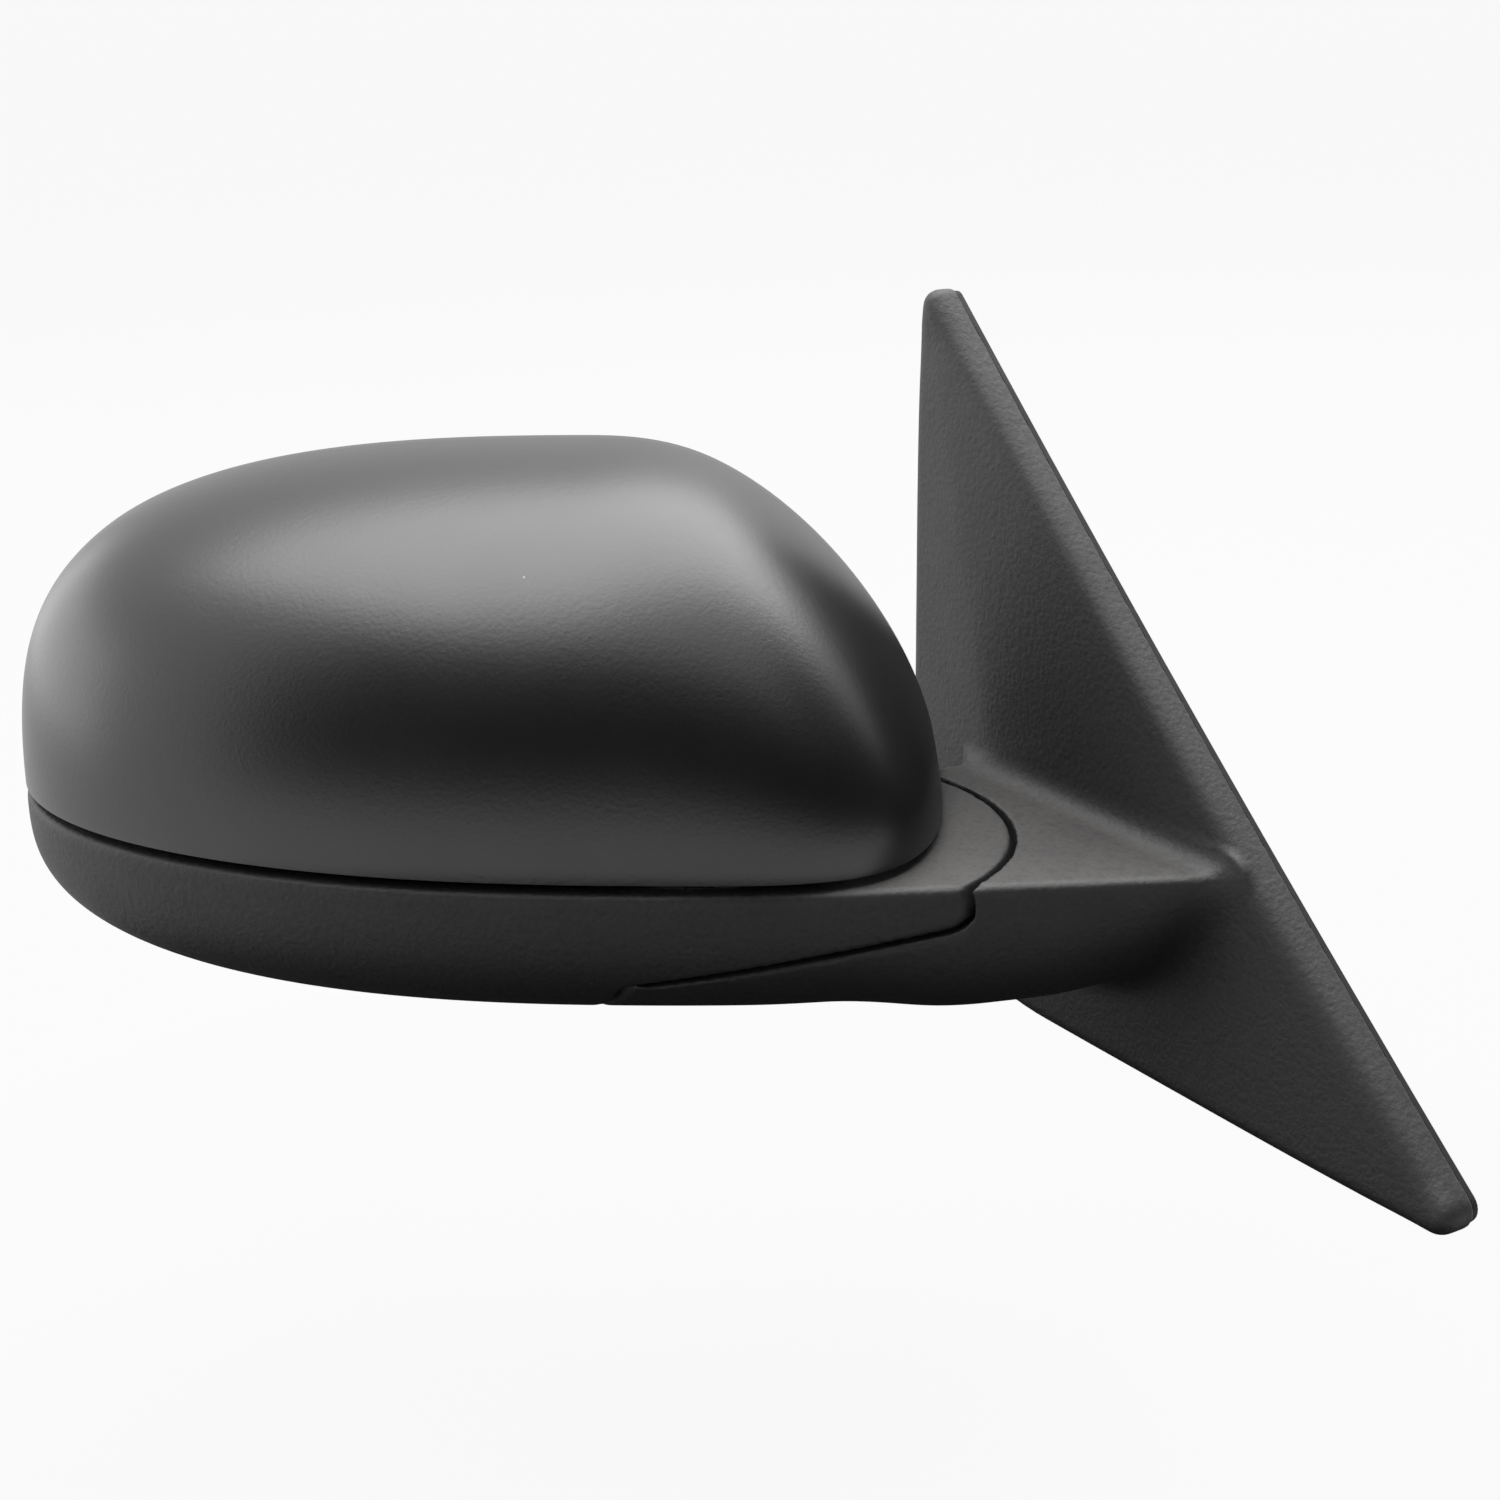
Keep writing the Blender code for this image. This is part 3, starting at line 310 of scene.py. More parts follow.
    @classmethod
    def sheet(cls, rows: np.ndarray) -> Piece:
        """Lay a grid over rows of points.

        Args:
            rows: Rows by points by 3, in millimetres.

        Returns:
            An open sheet.
        """
        count, width = rows.shape[:2]
        obj = cls.fresh(
            bpy.ops.mesh.primitive_grid_add,
            x_subdivisions=width - 1, y_subdivisions=count - 1, size=2.0,
        )
        local = cls.points(obj)
        column = np.rint((local[:, 0] + 1.0) / 2.0 * (width - 1)).astype(int)
        row = np.rint((local[:, 1] + 1.0) / 2.0 * (count - 1)).astype(int)
        cls.move_points(obj, rows[row, column])
        return cls.close_up(obj)

    @classmethod
    def rod(
        cls, radius: float, low: float, high: float, matrix: Matrix, low_round: float = 0.0
    ) -> Piece:
        """Round bar along local Z, set in place by a matrix in metres.

        Args:
            radius: Radius in millimetres.
            low: Lower end along local Z.
            high: Upper end along local Z.
            matrix: Local frame in the target's frame.
            low_round: Rounding of the lower rim.

        Returns:
            The bar.
        """
        obj = cls.fresh(
            bpy.ops.mesh.primitive_cylinder_add,
            vertices=cls.ROUND_SIDES, radius=radius * MM, depth=(high - low) * MM,
            location=(0.0, 0.0, (low + high) / 2.0 * MM),
        )
        bpy.ops.object.transform_apply(location=True, rotation=True, scale=True)
        if low_round > 0.0:
            rim = (low + 0.01) * MM
            cls.pick(obj, lambda a, b: max(a.z, b.z) < rim)
            bpy.ops.object.mode_set(mode="EDIT")
            bpy.ops.mesh.bevel(offset=low_round * MM, segments=cls.RIM_STEPS, affect="EDGES")
            bpy.ops.object.mode_set(mode="OBJECT")
        obj.data.transform(matrix)
        return obj

    @classmethod
    def block(cls, low: Triple, high: Triple, matrix: Matrix) -> Piece:
        """Square block between two corners, set in place by a matrix in metres.

        Args:
            low: Lowest corner in millimetres.
            high: Highest corner.
            matrix: Local frame in the target's frame.

        Returns:
            The block.
        """
        middle = [(a + b) / 2.0 * MM for a, b in zip(low, high)]
        obj = cls.fresh(bpy.ops.mesh.primitive_cube_add, size=1.0, location=middle)
        obj.scale = [(b - a) * MM for a, b in zip(low, high)]
        bpy.ops.object.transform_apply(location=True, rotation=True, scale=True)
        obj.data.transform(matrix)
        return obj

    @classmethod
    def modify(cls, obj: Piece, kind: str, **settings: object) -> None:
        """Add a modifier, set it and apply it.

        Args:
            obj: Object to change.
            kind: Blender's name for the modifier type.
            settings: Attributes of the modifier.
        """
        cls.take(obj)
        modifier = obj.modifiers.new(kind.title(), kind)
        for key, value in settings.items():
            setattr(modifier, key, value)
        bpy.ops.object.modifier_apply(modifier=modifier.name)

    @classmethod
    def combine(
        cls, obj: Piece, operation: str, *others: Piece
    ) -> Piece:
        """Apply Booleans with other bodies and drop them.

        Args:
            obj: Body to change.
            operation: DIFFERENCE or UNION.
            others: Bodies taken away or added.

        Returns:
            The changed body.
        """
        for other in others:
            cls.modify(obj, "BOOLEAN", operation=operation, object=other, solver="EXACT")
            bpy.data.objects.remove(other)
        return obj

    @classmethod
    def soften(
        cls, obj: Piece, voxel: float, rounds: int, near: np.ndarray | None = None,
        reach: float = 9.0, most: int = 150000,
    ) -> Piece:
        """Rebuild a body on an even mesh, round its edges and thin the mesh out.

        Args:
            obj: Closed body.
            voxel: Mesh size in millimetres.
            rounds: Smoothing passes.
            near: Points of a line along which the body is rounded further.
            reach: How far that further rounding goes.
            most: Triangles to keep.

        Returns:
            The softened body.
        """
        cls.modify(obj, "REMESH", mode="VOXEL", voxel_size=voxel * MM)
        cls.modify(obj, "SMOOTH", factor=0.5, iterations=rounds)
        if near is not None:
            spots = cls.points(obj) / MM
            gaps = np.full(len(spots), reach)
            for spot in near:
                gaps = np.minimum(gaps, np.linalg.norm(spots - spot, axis=1))
            group = obj.vertex_groups.new(name="further")
            levels = np.ceil((1.0 - gaps / reach) * cls.WEIGHT_LEVELS).astype(int)
            for level in range(1, cls.WEIGHT_LEVELS + 1):
                chosen = np.flatnonzero(levels == level).tolist()
                group.add(chosen, min(1.0, level / cls.FULL_LEVEL), "REPLACE")
            further = cls.FURTHER_ROUNDS * rounds
            cls.modify(obj, "SMOOTH", factor=0.5, iterations=further, vertex_group=group.name)
            obj.vertex_groups.clear()
        obj.data.calc_loop_triangles()
        share = most / len(obj.data.loop_triangles)
        if share < 1.0:
            cls.modify(obj, "DECIMATE", ratio=share)
        cls.take(obj)
        bpy.ops.object.shade_smooth()
        return obj

    @classmethod
    def shade(cls, obj: Piece, angle_deg: float = 35.0) -> Piece:
        """Smooth the shading except over sharp edges."""
        cls.take(obj)
        bpy.ops.object.shade_smooth_by_angle(angle=math.radians(angle_deg))
        return obj


@dataclass(frozen=True)
class HeadShape:
    """Envelope of the head and arm in the head's own frame."""

    foot: Triple = (-84.0, 35.0, 0.0)
    sweep_deg: float = 33.0
    lean_deg: float = 10.7
    u_in: float = -41.0
    u_mid: float = 36.0
    u_out: float = 202.5
    rim_v: float = -50.0
    depth: float = 94.0
    top_w: float = 90.0
    belly_w: float = 45.0
    lift: float = 2.5
    plan_out: float = 2.25
    plan_in: float = 4.0
    top_out: float = 3.0
    top_in: float = 1.57
    belly_out: float = 2.95
    cap_round: float = 2.3
    belly_round: tuple[Pair, ...] = ((-106.0, 1.8), (-84.0, 2.55), (-60.0, 3.2))
    ridge: float = 2.2
    tip_round: float = 6.0
    tip_growth: float = 0.6
    slope_draw: float = 1.5
    blend_u: Pair = (20.0, 100.0)
    arm_slope: float = 0.13
    arm_bend: float = 60.0
    arm_rear: tuple[Pair, ...] = ((-135.0, -86.0), (-52.0, -53.0), (-33.0, -44.5), (-10.0, -50.0))
    rear_round: tuple[Pair, ...] = ((-52.0, 34.0), (-10.0, 0.6))
    arm_flare: tuple[Pair, ...] = ((-66.0, -3.0), (-30.0, -1.6), (10.0, 0.0))
    crest_soft: float = 10.0
    crest_reach: float = 60.0
    lid_steps: int = 18
    ridge_steps: int = 6
    belly_steps: int = 34
    rear_steps: int = 14

    def place(self) -> Matrix:
        """Matrix from the head's frame to the shared frame, in metres."""
        turn = math.radians(self.sweep_deg)
        u = Vector((-math.cos(turn), math.sin(turn), 0.0))
        v = Vector((-math.sin(turn), -math.cos(turn), 0.0))
        return Matrix.Translation(Vector(self.foot) * MM) @ axes_frame(u, v, UP)

    def lean(self) -> Matrix:
        """Frame of the fold axis within the head's frame."""
        turn = math.radians(self.lean_deg)
        downhill = Vector((math.cos(turn), 0.0, -math.sin(turn)))
        axis = Vector((math.sin(turn), 0.0, math.cos(turn)))
        return axes_frame(downhill, Vector((0.0, 1.0, 0.0)), axis)

    def to_shared(self, points: np.ndarray) -> np.ndarray:
        """Points of the head's frame moved to the shared frame, in millimetres."""
        matrix = np.array(self.place())
        return points @ matrix[:3, :3].T + matrix[:3, 3] / MM

    def crest(self, u: float, height: Callable[[float], float]) -> float:
        """Height at u with the turn from one arc to the other eased.

        Args:
            u: Station along the head.
            height: Height before easing, at any station.

        Returns:
            The eased height.
        """
        near = smooth_step(1.0 - abs(u - self.u_mid) / self.crest_reach)
        steps = np.arange(-4, 5) / 2.0
        weights = np.exp(-steps * steps / 2.0)
        heights = [height(u + self.crest_soft * near * step) for step in steps]
        return float(np.dot(weights, heights) / weights.sum())

    def arch(self, u: float, powers: Pair, ends: Pair = (0.0, 0.0)) -> float:
        """Share of the full size at u, on one arc each side of the widest station.

        Args:
            u: Station along the head.
            powers: Squareness of the inboard arc and of the outboard arc.
            ends: How far inside the envelope each arc ends.

        Returns:
            Share from 0 to 1.
        """
        if u > self.u_mid:
            return power_arc((u - self.u_mid) / (self.u_out - ends[1] - self.u_mid), powers[1])
        return power_arc((self.u_mid - u) / (self.u_mid - self.u_in - ends[0]), powers[0])

    def plain_top(self, u: float) -> float:
        """Height of the cap's rear edge at u before easing."""
        share = self.arch(u, (self.top_in, self.top_out))
        return self.lift + (self.top_w - self.lift) * share

    def top(self, u: float) -> float:
        """Height of the cap's rear edge at u."""
        return self.crest(u, self.plain_top)

    def nose(self, u: float, inset: float = 0.0) -> float:
        """Depth of the head in front of its rim at u."""
        return (self.depth - inset) * self.arch(u, (self.plan_in, self.plan_out), (inset, inset))

    def front(self, u: float, inset: float = 0.0) -> float:
        """Front edge of the arm and skirt at u."""
        if u > self.u_mid:
            return self.rim_v + self.nose(u, inset)
        back = self.u_mid - u
        bend = min(back, self.arm_bend)
        fall = self.arm_slope * (bend * bend / (2.0 * self.arm_bend) + back - bend)
        return self.rim_v + self.depth - inset - fall

    def belly_share(self, u: float, inset: float) -> float:
        """Share of the skirt's full depth at u."""
        past = max(0.0, u - self.u_mid)
        return power_arc(past / (self.u_out - inset - self.u_mid), self.belly_out)

    def belly(self, u: float, inset: float = 0.0) -> float:
        """Depth of the arm and skirt below the shelf at u."""
        full = self.belly_w + flowing(self.arm_flare, u) - inset
        return full * self.belly_share(u, inset)

    def stations(self, inset: float, inner: int, outer: int) -> list[float]:
        """u stations over the cap, crowded at both tips."""
        inboard = eased(self.u_mid, self.u_in + inset, inner)
        return inboard[:0:-1] + eased(self.u_mid, self.u_out - inset, outer)

    def cap_arc(self, u: float, steps: int) -> list[Triple]:
        """Front and top curve of the cap's section at u."""
        points = []
        deep, high = self.nose(u), self.top(u) - self.lift
        for turn in quarter_turns(steps):
            v = deep * max(math.cos(turn), 0.0) ** (2.0 / self.cap_round)
            w = high * math.sin(turn) ** (2.0 / self.cap_round)
            points.append((u, self.rim_v + v, self.lift + w))
        return points

    def section(self, u: float, inset: float = 0.0) -> np.ndarray:
        """Closed section of the arm and skirt at u: flat top, rounded ridge and belly.

        Args:
            u: Station along the head.
            inset: How far inside the outer skin.

        Returns:
            The ring's points, always in the same number and order.
        """
        rear = flowing(self.arm_rear, u) + inset
        front = max(self.front(u, inset), rear + 1.0)
        middle = rear + min(flowing(self.rear_round, u), (front - rear) / 2.0)
        deep = max(self.belly(u, inset) - inset, 0.5)
        fillet = min(self.ridge, (front - middle) / 3.0, deep / 3.0)
        power = 2.0 / flowing(self.belly_round, u)
        lid = np.linspace(rear, front - fillet, self.lid_steps, endpoint=False)
        ring = [(u, v, -inset) for v in lid]
        for turn in quarter_turns(self.ridge_steps)[:-1]:
            v = front - fillet * (1 - math.sin(turn))
            ring.append((u, v, -inset - fillet * (1 - math.cos(turn))))
        for turn in quarter_turns(self.belly_steps)[:-1]:
            v = middle + (front - middle) * math.cos(turn) ** power
            ring.append((u, v, -inset - fillet - (deep - fillet) * math.sin(turn) ** power))
        for turn in quarter_turns(self.rear_steps)[:-1]:
            v = middle - (middle - rear) * math.sin(turn) ** power
            ring.append((u, v, -inset - deep * math.cos(turn) ** power))
        return np.array(ring)

    def belly_at(self, u: float, v: float) -> float:
        """Height of the underside of the arm or skirt at a point of its plan."""
        middle = flowing(self.arm_rear, u) + flowing(self.rear_round, u)
        share = power_arc((v - middle) / (self.front(u) - middle), flowing(self.belly_round, u))
        return -self.ridge - (self.belly(u) - self.ridge) * share

    def tip_r(self, inset: float) -> float:
        """Radius of the rear opening's inboard lower corner."""
        return self.tip_round + self.tip_growth * inset

    def rear_tip(self, inset: float) -> float:
        """Inboard end of the rear opening, where its slope meets its rounded lower corner."""
        share = self.tip_r(inset) / (self.top_w - self.lift - 2.0 * inset)
        span = self.u_mid - self.u_in - self.slope_draw * inset
        return self.u_mid - span * power_arc(share, self.top_in)

    def rear_top(self, u: float, inset: float) -> float:
        """Upper edge of the rear opening at u before easing."""
        high = self.top_w - inset
        low = 0.0 if u > self.u_mid else self.lift + inset
        share = self.arch(u, (self.top_in, self.top_out), (self.slope_draw * inset, inset))
        return low + (high - low) * share

    def rear_floor(self, u: float, inset: float) -> float:
        """Lower edge of the rear opening at u: over the swivel, then down on the skirt."""
        turn_r = self.tip_r(inset)
        past = min(1.0, max(0.0, self.rear_tip(inset) + turn_r - u) / turn_r)
        shelf = self.lift + inset + turn_r * (1.0 - power_arc(past, 2.0))
        belly = (self.belly_w - inset) * self.belly_share(u, inset)
        drop = smooth_step((u - self.blend_u[0]) / (self.blend_u[1] - self.blend_u[0]))
        return shelf * (1.0 - drop) - belly * drop

    def rear_loop(self, inset: float, inner: int = 34, outer: int = 44) -> np.ndarray:
        """Outline of the head's rear opening in u and w, set in by a distance.

        Args:
            inset: Distance inside the cap's rear edge.
            inner: Steps inboard of the widest station.
            outer: Steps outboard of it.

        Returns:
            Points by 2, running once round.
        """
        inboard = eased(self.u_mid, self.rear_tip(inset), inner)
        outboard = eased(self.u_mid, self.u_out - inset, outer)
        spots = inboard[::-1] + outboard[1:]
        upper = [(u, self.crest(u, lambda near: self.rear_top(near, inset))) for u in spots]
        lower = [(u, self.rear_floor(u, inset)) for u in outboard[-2::-1] + inboard[1:-1]]
        return np.array(upper + lower)


@dataclass(frozen=True)
class SailShape:
    """Triangular sail on the door, in the shared frame, outlined in y and z."""

    top: Pair = (84.8, 128.0)
    tip: Pair = (-130.4, -62.9)
    rear: Pair = (90.0, -65.6)
    bow: Pair = (-20.5, 28.6)
    radii: Triple = (14.0, 3.8, 5.0)
    least_r: float = 1.5
    middle: Pair = (24.0, -8.0)
    back_x: float = -0.95
    edge_x: float = -9.4
    crown: float = 3.0
    crown_reach: float = 14.0
    rim_round: float = 4.2
    crease_foot: Pair = (43.3, 2.6)
    crease_lean: float = 0.295
    crease_fall: float = 0.13
    crease_soft: float = 3.5
    crease_reach: float = 40.0
    slope_steps: int = 38
    slope_clear: float = 0.07
    rim_steps: int = 8
    corner_steps: int = 10
    side_steps: int = 36
    shares: tuple[float, ...] = (0.96, 0.91, 0.85, 0.78, 0.7, 0.61, 0.51, 0.4, 0.28, 0.15, 0.04)

    def slope(self) -> list[Vector]:
        """Points of the bowed sloping edge, clear of its two rounded ends."""
        top, bow, tip = Vector(self.top), Vector(self.bow), Vector(self.tip)
        shares = np.linspace(self.slope_clear, 1.0 - self.slope_clear, self.slope_steps)
        return [top * (1 - t) ** 2 + bow * 2 * t * (1 - t) + tip * t * t for t in shares]

    def corners(self, inset: float) -> list[Vector]:
        """Corners of the outline with every side moved in by a distance."""
        raw = [Vector(self.rear), Vector(self.top)] + self.slope() + [Vector(self.tip)]
        moved = []
        for i, here in enumerate(raw):
            before = (here - raw[i - 1]).normalized()
            after = (raw[(i + 1) % len(raw)] - here).normalized()
            first, second = [Vector((-way.y, way.x)) for way in (before, after)]
            moved.append(here + (first + second) * inset / (1.0 + first.dot(second)))
        return moved

    def rounded(self, corners: list[Vector], i: int, radius: float) -> list[Vector]:
        """Arc that rounds one corner of the outline."""
        here = corners[i]
        to_last = (corners[i - 1] - here).normalized()
        to_next = (corners[(i + 1) % len(corners)] - here).normalized()
        half = to_last.angle(to_next) / 2.0
        centre = here + (to_last + to_next).normalized() * radius / math.sin(half)
        first = here + to_last * radius / math.tan(half) - centre
        last = here + to_next * radius / math.tan(half) - centre
        turned = [first.slerp(last, k / self.corner_steps) for k in range(self.corner_steps + 1)]
        return [centre + arm.normalized() * radius for arm in turned]

    def outline(self, inset: float) -> np.ndarray:
        """Outline set in by a distance, as points in y and z in one fixed order.

        Args:
            inset: Distance inside the outer edge.

        Returns:
            Points by 2, running once round.
        """
        corners = self.corners(inset)
        radii = [max(r - inset, self.least_r) for r in self.radii]
        at_rear = self.rounded(corners, 0, radii[0])
        at_top = self.rounded(corners, 1, radii[1])
        at_tip = self.rounded(corners, len(corners) - 1, radii[2])
        shares = [k / self.side_steps for k in range(1, self.side_steps)]
        back = [at_rear[-1].lerp(at_top[0], t) for t in shares]
        under = [at_tip[-1].lerp(at_rear[0], t) for t in shares]
        ring = at_rear + back + at_top + corners[2:-1] + at_tip + under
        return np.array([tuple(p) for p in ring])

    def ring_at(self, inset: float, x: float) -> np.ndarray:
        """Outline set in by a distance, standing at one x."""
        outline = self.outline(inset)
        return np.column_stack([np.full(len(outline), x), outline])

    def face(self, y: np.ndarray, z: np.ndarray) -> np.ndarray:
        """x of the outer face: crowned behind its sloping edge, bent back past the crease.

        Args:
            y: Places along the car.
            z: Heights.

        Returns:
            x at each place.
        """
        edge = np.array([self.top] + [tuple(p) for p in self.slope()] + [self.tip])
        spots = np.stack([np.ravel(y), np.ravel(z)], axis=1)
        away = np.sqrt(((spots[:, None, :] - edge[None, :, :]) ** 2).sum(axis=2).min(axis=1))
        crease = self.crease_foot[0] + self.crease_lean * (spots[:, 1] - self.crease_foot[1])
        past = (spots[:, 0] - crease) / math.hypot(1.0, self.crease_lean)
        soft = self.crease_soft
        bent = softened(past, soft) - softened(past - self.crease_reach, soft)
        crowned = self.crown * (1.0 - np.exp(-away / self.crown_reach))
        x = self.edge_x - crowned + self.crease_fall * bent
        return x.reshape(np.shape(y))

    def slab(self) -> np.ndarray:
        """Loops of the whole sail from its door side round to the middle of its face."""
        loops = [self.ring_at(0.0, self.back_x)]
        for turn in np.radians(np.linspace(0.0, 90.0, self.rim_steps + 1)):
            inset = self.outline(self.rim_round * (1.0 - math.cos(turn)))
            face = self.face(inset[:, 0], inset[:, 1])
            loops.append(np.column_stack([face + self.rim_round * (1.0 - math.sin(turn)), inset]))
        middle = np.array(self.middle)
        inner = self.outline(self.rim_round)
        for share in self.shares:
            spots = middle + (inner - middle) * share
            loops.append(np.column_stack([self.face(spots[:, 0], spots[:, 1]), spots]))
        return np.array(loops)

    def prism(self, inset: float, low: float, high: float) -> np.ndarray:
        """Loops of a plain slab with the sail's outline."""
        return np.array([self.ring_at(inset, x) for x in (low, high)])


class NodeSheet:
    """Short way to lay out and wire shader nodes in one tree."""

    def __init__(self, tree: Tree) -> None:
        """Start on an existing tree."""
        self.tree = tree

    def add(
        self, kind: str, settings: dict[str, object] | None = None, **inputs: object
    ) -> Node:
        """Add a node, set its attributes, and set or wire its inputs.

        Args:
            kind: Node type name.
            settings: Attributes of the node.
            inputs: Values or output sockets by input name, with _ for a space.

        Returns:
            The node.
        """
        node = self.tree.nodes.new(kind)
        for key, value in (settings or {}).items():
            setattr(node, key, value)
        for name, value in inputs.items():
            self.feed(node.inputs[name.replace("_", " ")], value)
        return node

    def feed(self, socket: Socket, value: object) -> None:
        """Set a socket to a value, or wire an output socket into it."""
        if isinstance(value, Socket):
            self.tree.links.new(value, socket)
        else:
            socket.default_value = value

    def place(self) -> Socket:
        """Object coordinates."""
        return self.add("ShaderNodeTexCoord").outputs["Object"]

    def noise(
        self, scale: object, detail: float, roughness: float = 0.5, place: object = None
    ) -> Socket:
        """Cloudy noise from 0 to 1.

        Args:
            scale: Number or socket of the noise's scale.
            detail: Number of finer layers.
            roughness: How strong the finer layers are.
            place: Socket of the coordinates, or none for Object coordinates.

        Returns:
            The noise.
        """
        node = self.add("ShaderNodeTexNoise", Scale=scale, Detail=detail, Roughness=roughness)
        self.feed(node.inputs["Vector"], self.place() if place is None else place)
        return node.outputs["Fac"]

    def math(self, operation: str, *values: object) -> Socket:
        """Arithmetic on numbers or sockets."""
        node = self.add("ShaderNodeMath", {"operation": operation})
        for socket, value in zip(node.inputs, values):
            self.feed(socket, value)
        return node.outputs[0]

    def ranged(self, value: object, low: Pair, high: Pair) -> Socket:
        """Map a value from one range to another, held at both ends."""
        node = self.add("ShaderNodeMapRange", Value=value)
        for name, number in zip(("From Min", "From Max", "To Min", "To Max"), (*low, *high)):
            node.inputs[name].default_value = number
        return node.outputs["Result"]

    def blend(self, share: object, first: object, second: object) -> Socket:
        """Mix two colours by a share."""
        node = self.add("ShaderNodeMix", {"data_type": "RGBA"})
        self.feed(node.inputs[0], share)
        self.feed(node.inputs[6], first)
        self.feed(node.inputs[7], second)
        return node.outputs[2]


class SharedEffects:
    """Shader node groups that several finishes use."""

    def __init__(self) -> None:
        """Build each group once."""
        self.grain = self.moulded_grain()
        self.rub = self.rubbed_edges()
        self.dust_and_top_light = self.dust_and_painted_top_light()
        self.drift = self.tone_drift()
        self.marks = self.tool_marks()

    @staticmethod
    def group(
        name: str, inputs: dict[str, float], outputs: Sequence[str]
    ) -> tuple[NodeSheet, dict, dict]:
        """Empty group with number sockets.

        Args:
            name: Name of the group.
            inputs: Default value by input name.
            outputs: Output names.

        Returns:
            The sheet to draw on, the input sockets by name, and the output sockets by name.
        """
        tree = bpy.data.node_groups.new(name, "ShaderNodeTree")
        for key, value in inputs.items():
            socket = tree.interface.new_socket(key, in_out="INPUT", socket_type="NodeSocketFloat")
            socket.default_value = value
        for key in outputs:
            tree.interface.new_socket(key, in_out="OUTPUT", socket_type="NodeSocketFloat")
        sheet = NodeSheet(tree)
        source = sheet.add("NodeGroupInput").outputs
        target = sheet.add("NodeGroupOutput").inputs
        return sheet, {key: source[key] for key in inputs}, {key: target[key] for key in outputs}

    def moulded_grain(self) -> Tree:
        """Pebbled texture of an etched mould, as a height and a mask of its pits."""
        sheet, given, out = self.group("moulded_grain", {"Scale": 1000.0}, ("Height", "Pits"))
        pebble = sheet.noise(given["Scale"], 2.5, 0.62)
        coarser = sheet.math("MULTIPLY", given["Scale"], 0.8)
        cells = sheet.add(
            "ShaderNodeTexVoronoi", {"feature": "SMOOTH_F1"}, Vector=sheet.place(), Scale=coarser
        )
        lumps = sheet.math("MULTIPLY", cells.outputs["Distance"], 0.55)
        height = sheet.math("SUBTRACT", pebble, lumps)
        sheet.feed(out["Height"], height)
        sheet.feed(out["Pits"], sheet.ranged(height, (0.02, 0.32), (1.0, 0.0)))
        return sheet.tree

    def rubbed_edges(self) -> Tree:
        """Mask of proud edges that handling has polished, broken up by fine noise."""
        sheet, given, out = self.group("rubbed_edges", {"Start": 0.53, "Patch": 160.0}, ("Mask",))
        proud = sheet.add("ShaderNodeNewGeometry").outputs["Pointiness"]
        above = sheet.math("SUBTRACT", proud, given["Start"])
        worn = sheet.ranged(sheet.noise(given["Patch"], 4.0), (0.35, 0.65), (0.35, 1.0))
        edge = sheet.ranged(above, (0.0, 0.08), (0.0, 1.0))
        sheet.feed(out["Mask"], sheet.math("MULTIPLY", edge, worn))
        return sheet.tree

    def dust_and_painted_top_light(self) -> Tree:
        """Mask of a few dust specks, and a thin film on faces that look up, partly dust and
        partly painted top light that makes those faces lighter.
        """
        names = {"Scale": 90.0, "Share": 0.04}
        sheet, given, out = self.group("dust_and_painted_top_light", names, ("Specks", "Film_and_top_light"))
        cells = sheet.add(
            "ShaderNodeTexVoronoi", Vector=sheet.place(), Scale=given["Scale"], Randomness=1.0
        )
        parts = sheet.add("ShaderNodeSeparateColor", Color=cells.outputs["Color"])
        chosen = sheet.math("LESS_THAN", parts.outputs[0], given["Share"])
        size = sheet.ranged(parts.outputs[1], (0.0, 1.0), (0.012, 0.034))
        near = sheet.math("LESS_THAN", cells.outputs["Distance"], size)
        sheet.feed(out["Specks"], sheet.math("MULTIPLY", chosen, near))
        normal = sheet.add("ShaderNodeNewGeometry").outputs["Normal"]
        height = sheet.add("ShaderNodeSeparateXYZ", Vector=normal).outputs["Z"]
        # Painted top light mixed with a dust film: faces that look up get a lighter colour.
        upward = sheet.ranged(height, (0.4, 1.0), (0.0, 1.0))
        film = sheet.ranged(sheet.noise(38.0, 6.0, 0.7), (0.3, 0.7), (0.6, 1.0))
        sheet.feed(out["Film_and_top_light"], sheet.math("MULTIPLY", upward, film))
        return sheet.tree

    def tone_drift(self) -> Tree:
        """Slow change over a surface: a light factor round 1 and a roughness step round 0."""
        names = {"Scale": 14.0, "Amount": 0.2}
        sheet, given, out = self.group("tone_drift", names, ("Tone", "Step"))
        centred = sheet.math("SUBTRACT", sheet.noise(given["Scale"], 5.0, 0.6), 0.5)
        swing = sheet.math("MULTIPLY", centred, given["Amount"])
        sheet.feed(out["Tone"], sheet.math("ADD", swing, 1.0))
        finer = sheet.noise(sheet.math("MULTIPLY", given["Scale"], 5.0), 3.0)
        sheet.feed(out["Step"], sheet.math("SUBTRACT", finer, 0.5))
        return sheet.tree

    def tool_marks(self) -> Tree:
        """Fine drawn or turned lines on metal, as a height."""
        names = {"Scale": 900.0, "Along X": 1.0, "Along Y": 1.0, "Along Z": 1.0}
        sheet, given, out = self.group("tool_marks", names, ("Height",))
        ways = sheet.add("ShaderNodeCombineXYZ")
        for axis in "XYZ":
            sheet.feed(ways.inputs[axis], given[f"Along {axis}"])
        stretched = sheet.add("ShaderNodeVectorMath", {"operation": "DIVIDE"})
        sheet.feed(stretched.inputs[0], sheet.place())
        sheet.feed(stretched.inputs[1], ways.outputs["Vector"])
        lines = sheet.noise(given["Scale"], 3.0, place=stretched.outputs["Vector"])
        sheet.feed(out["Height"], lines)
        return sheet.tree


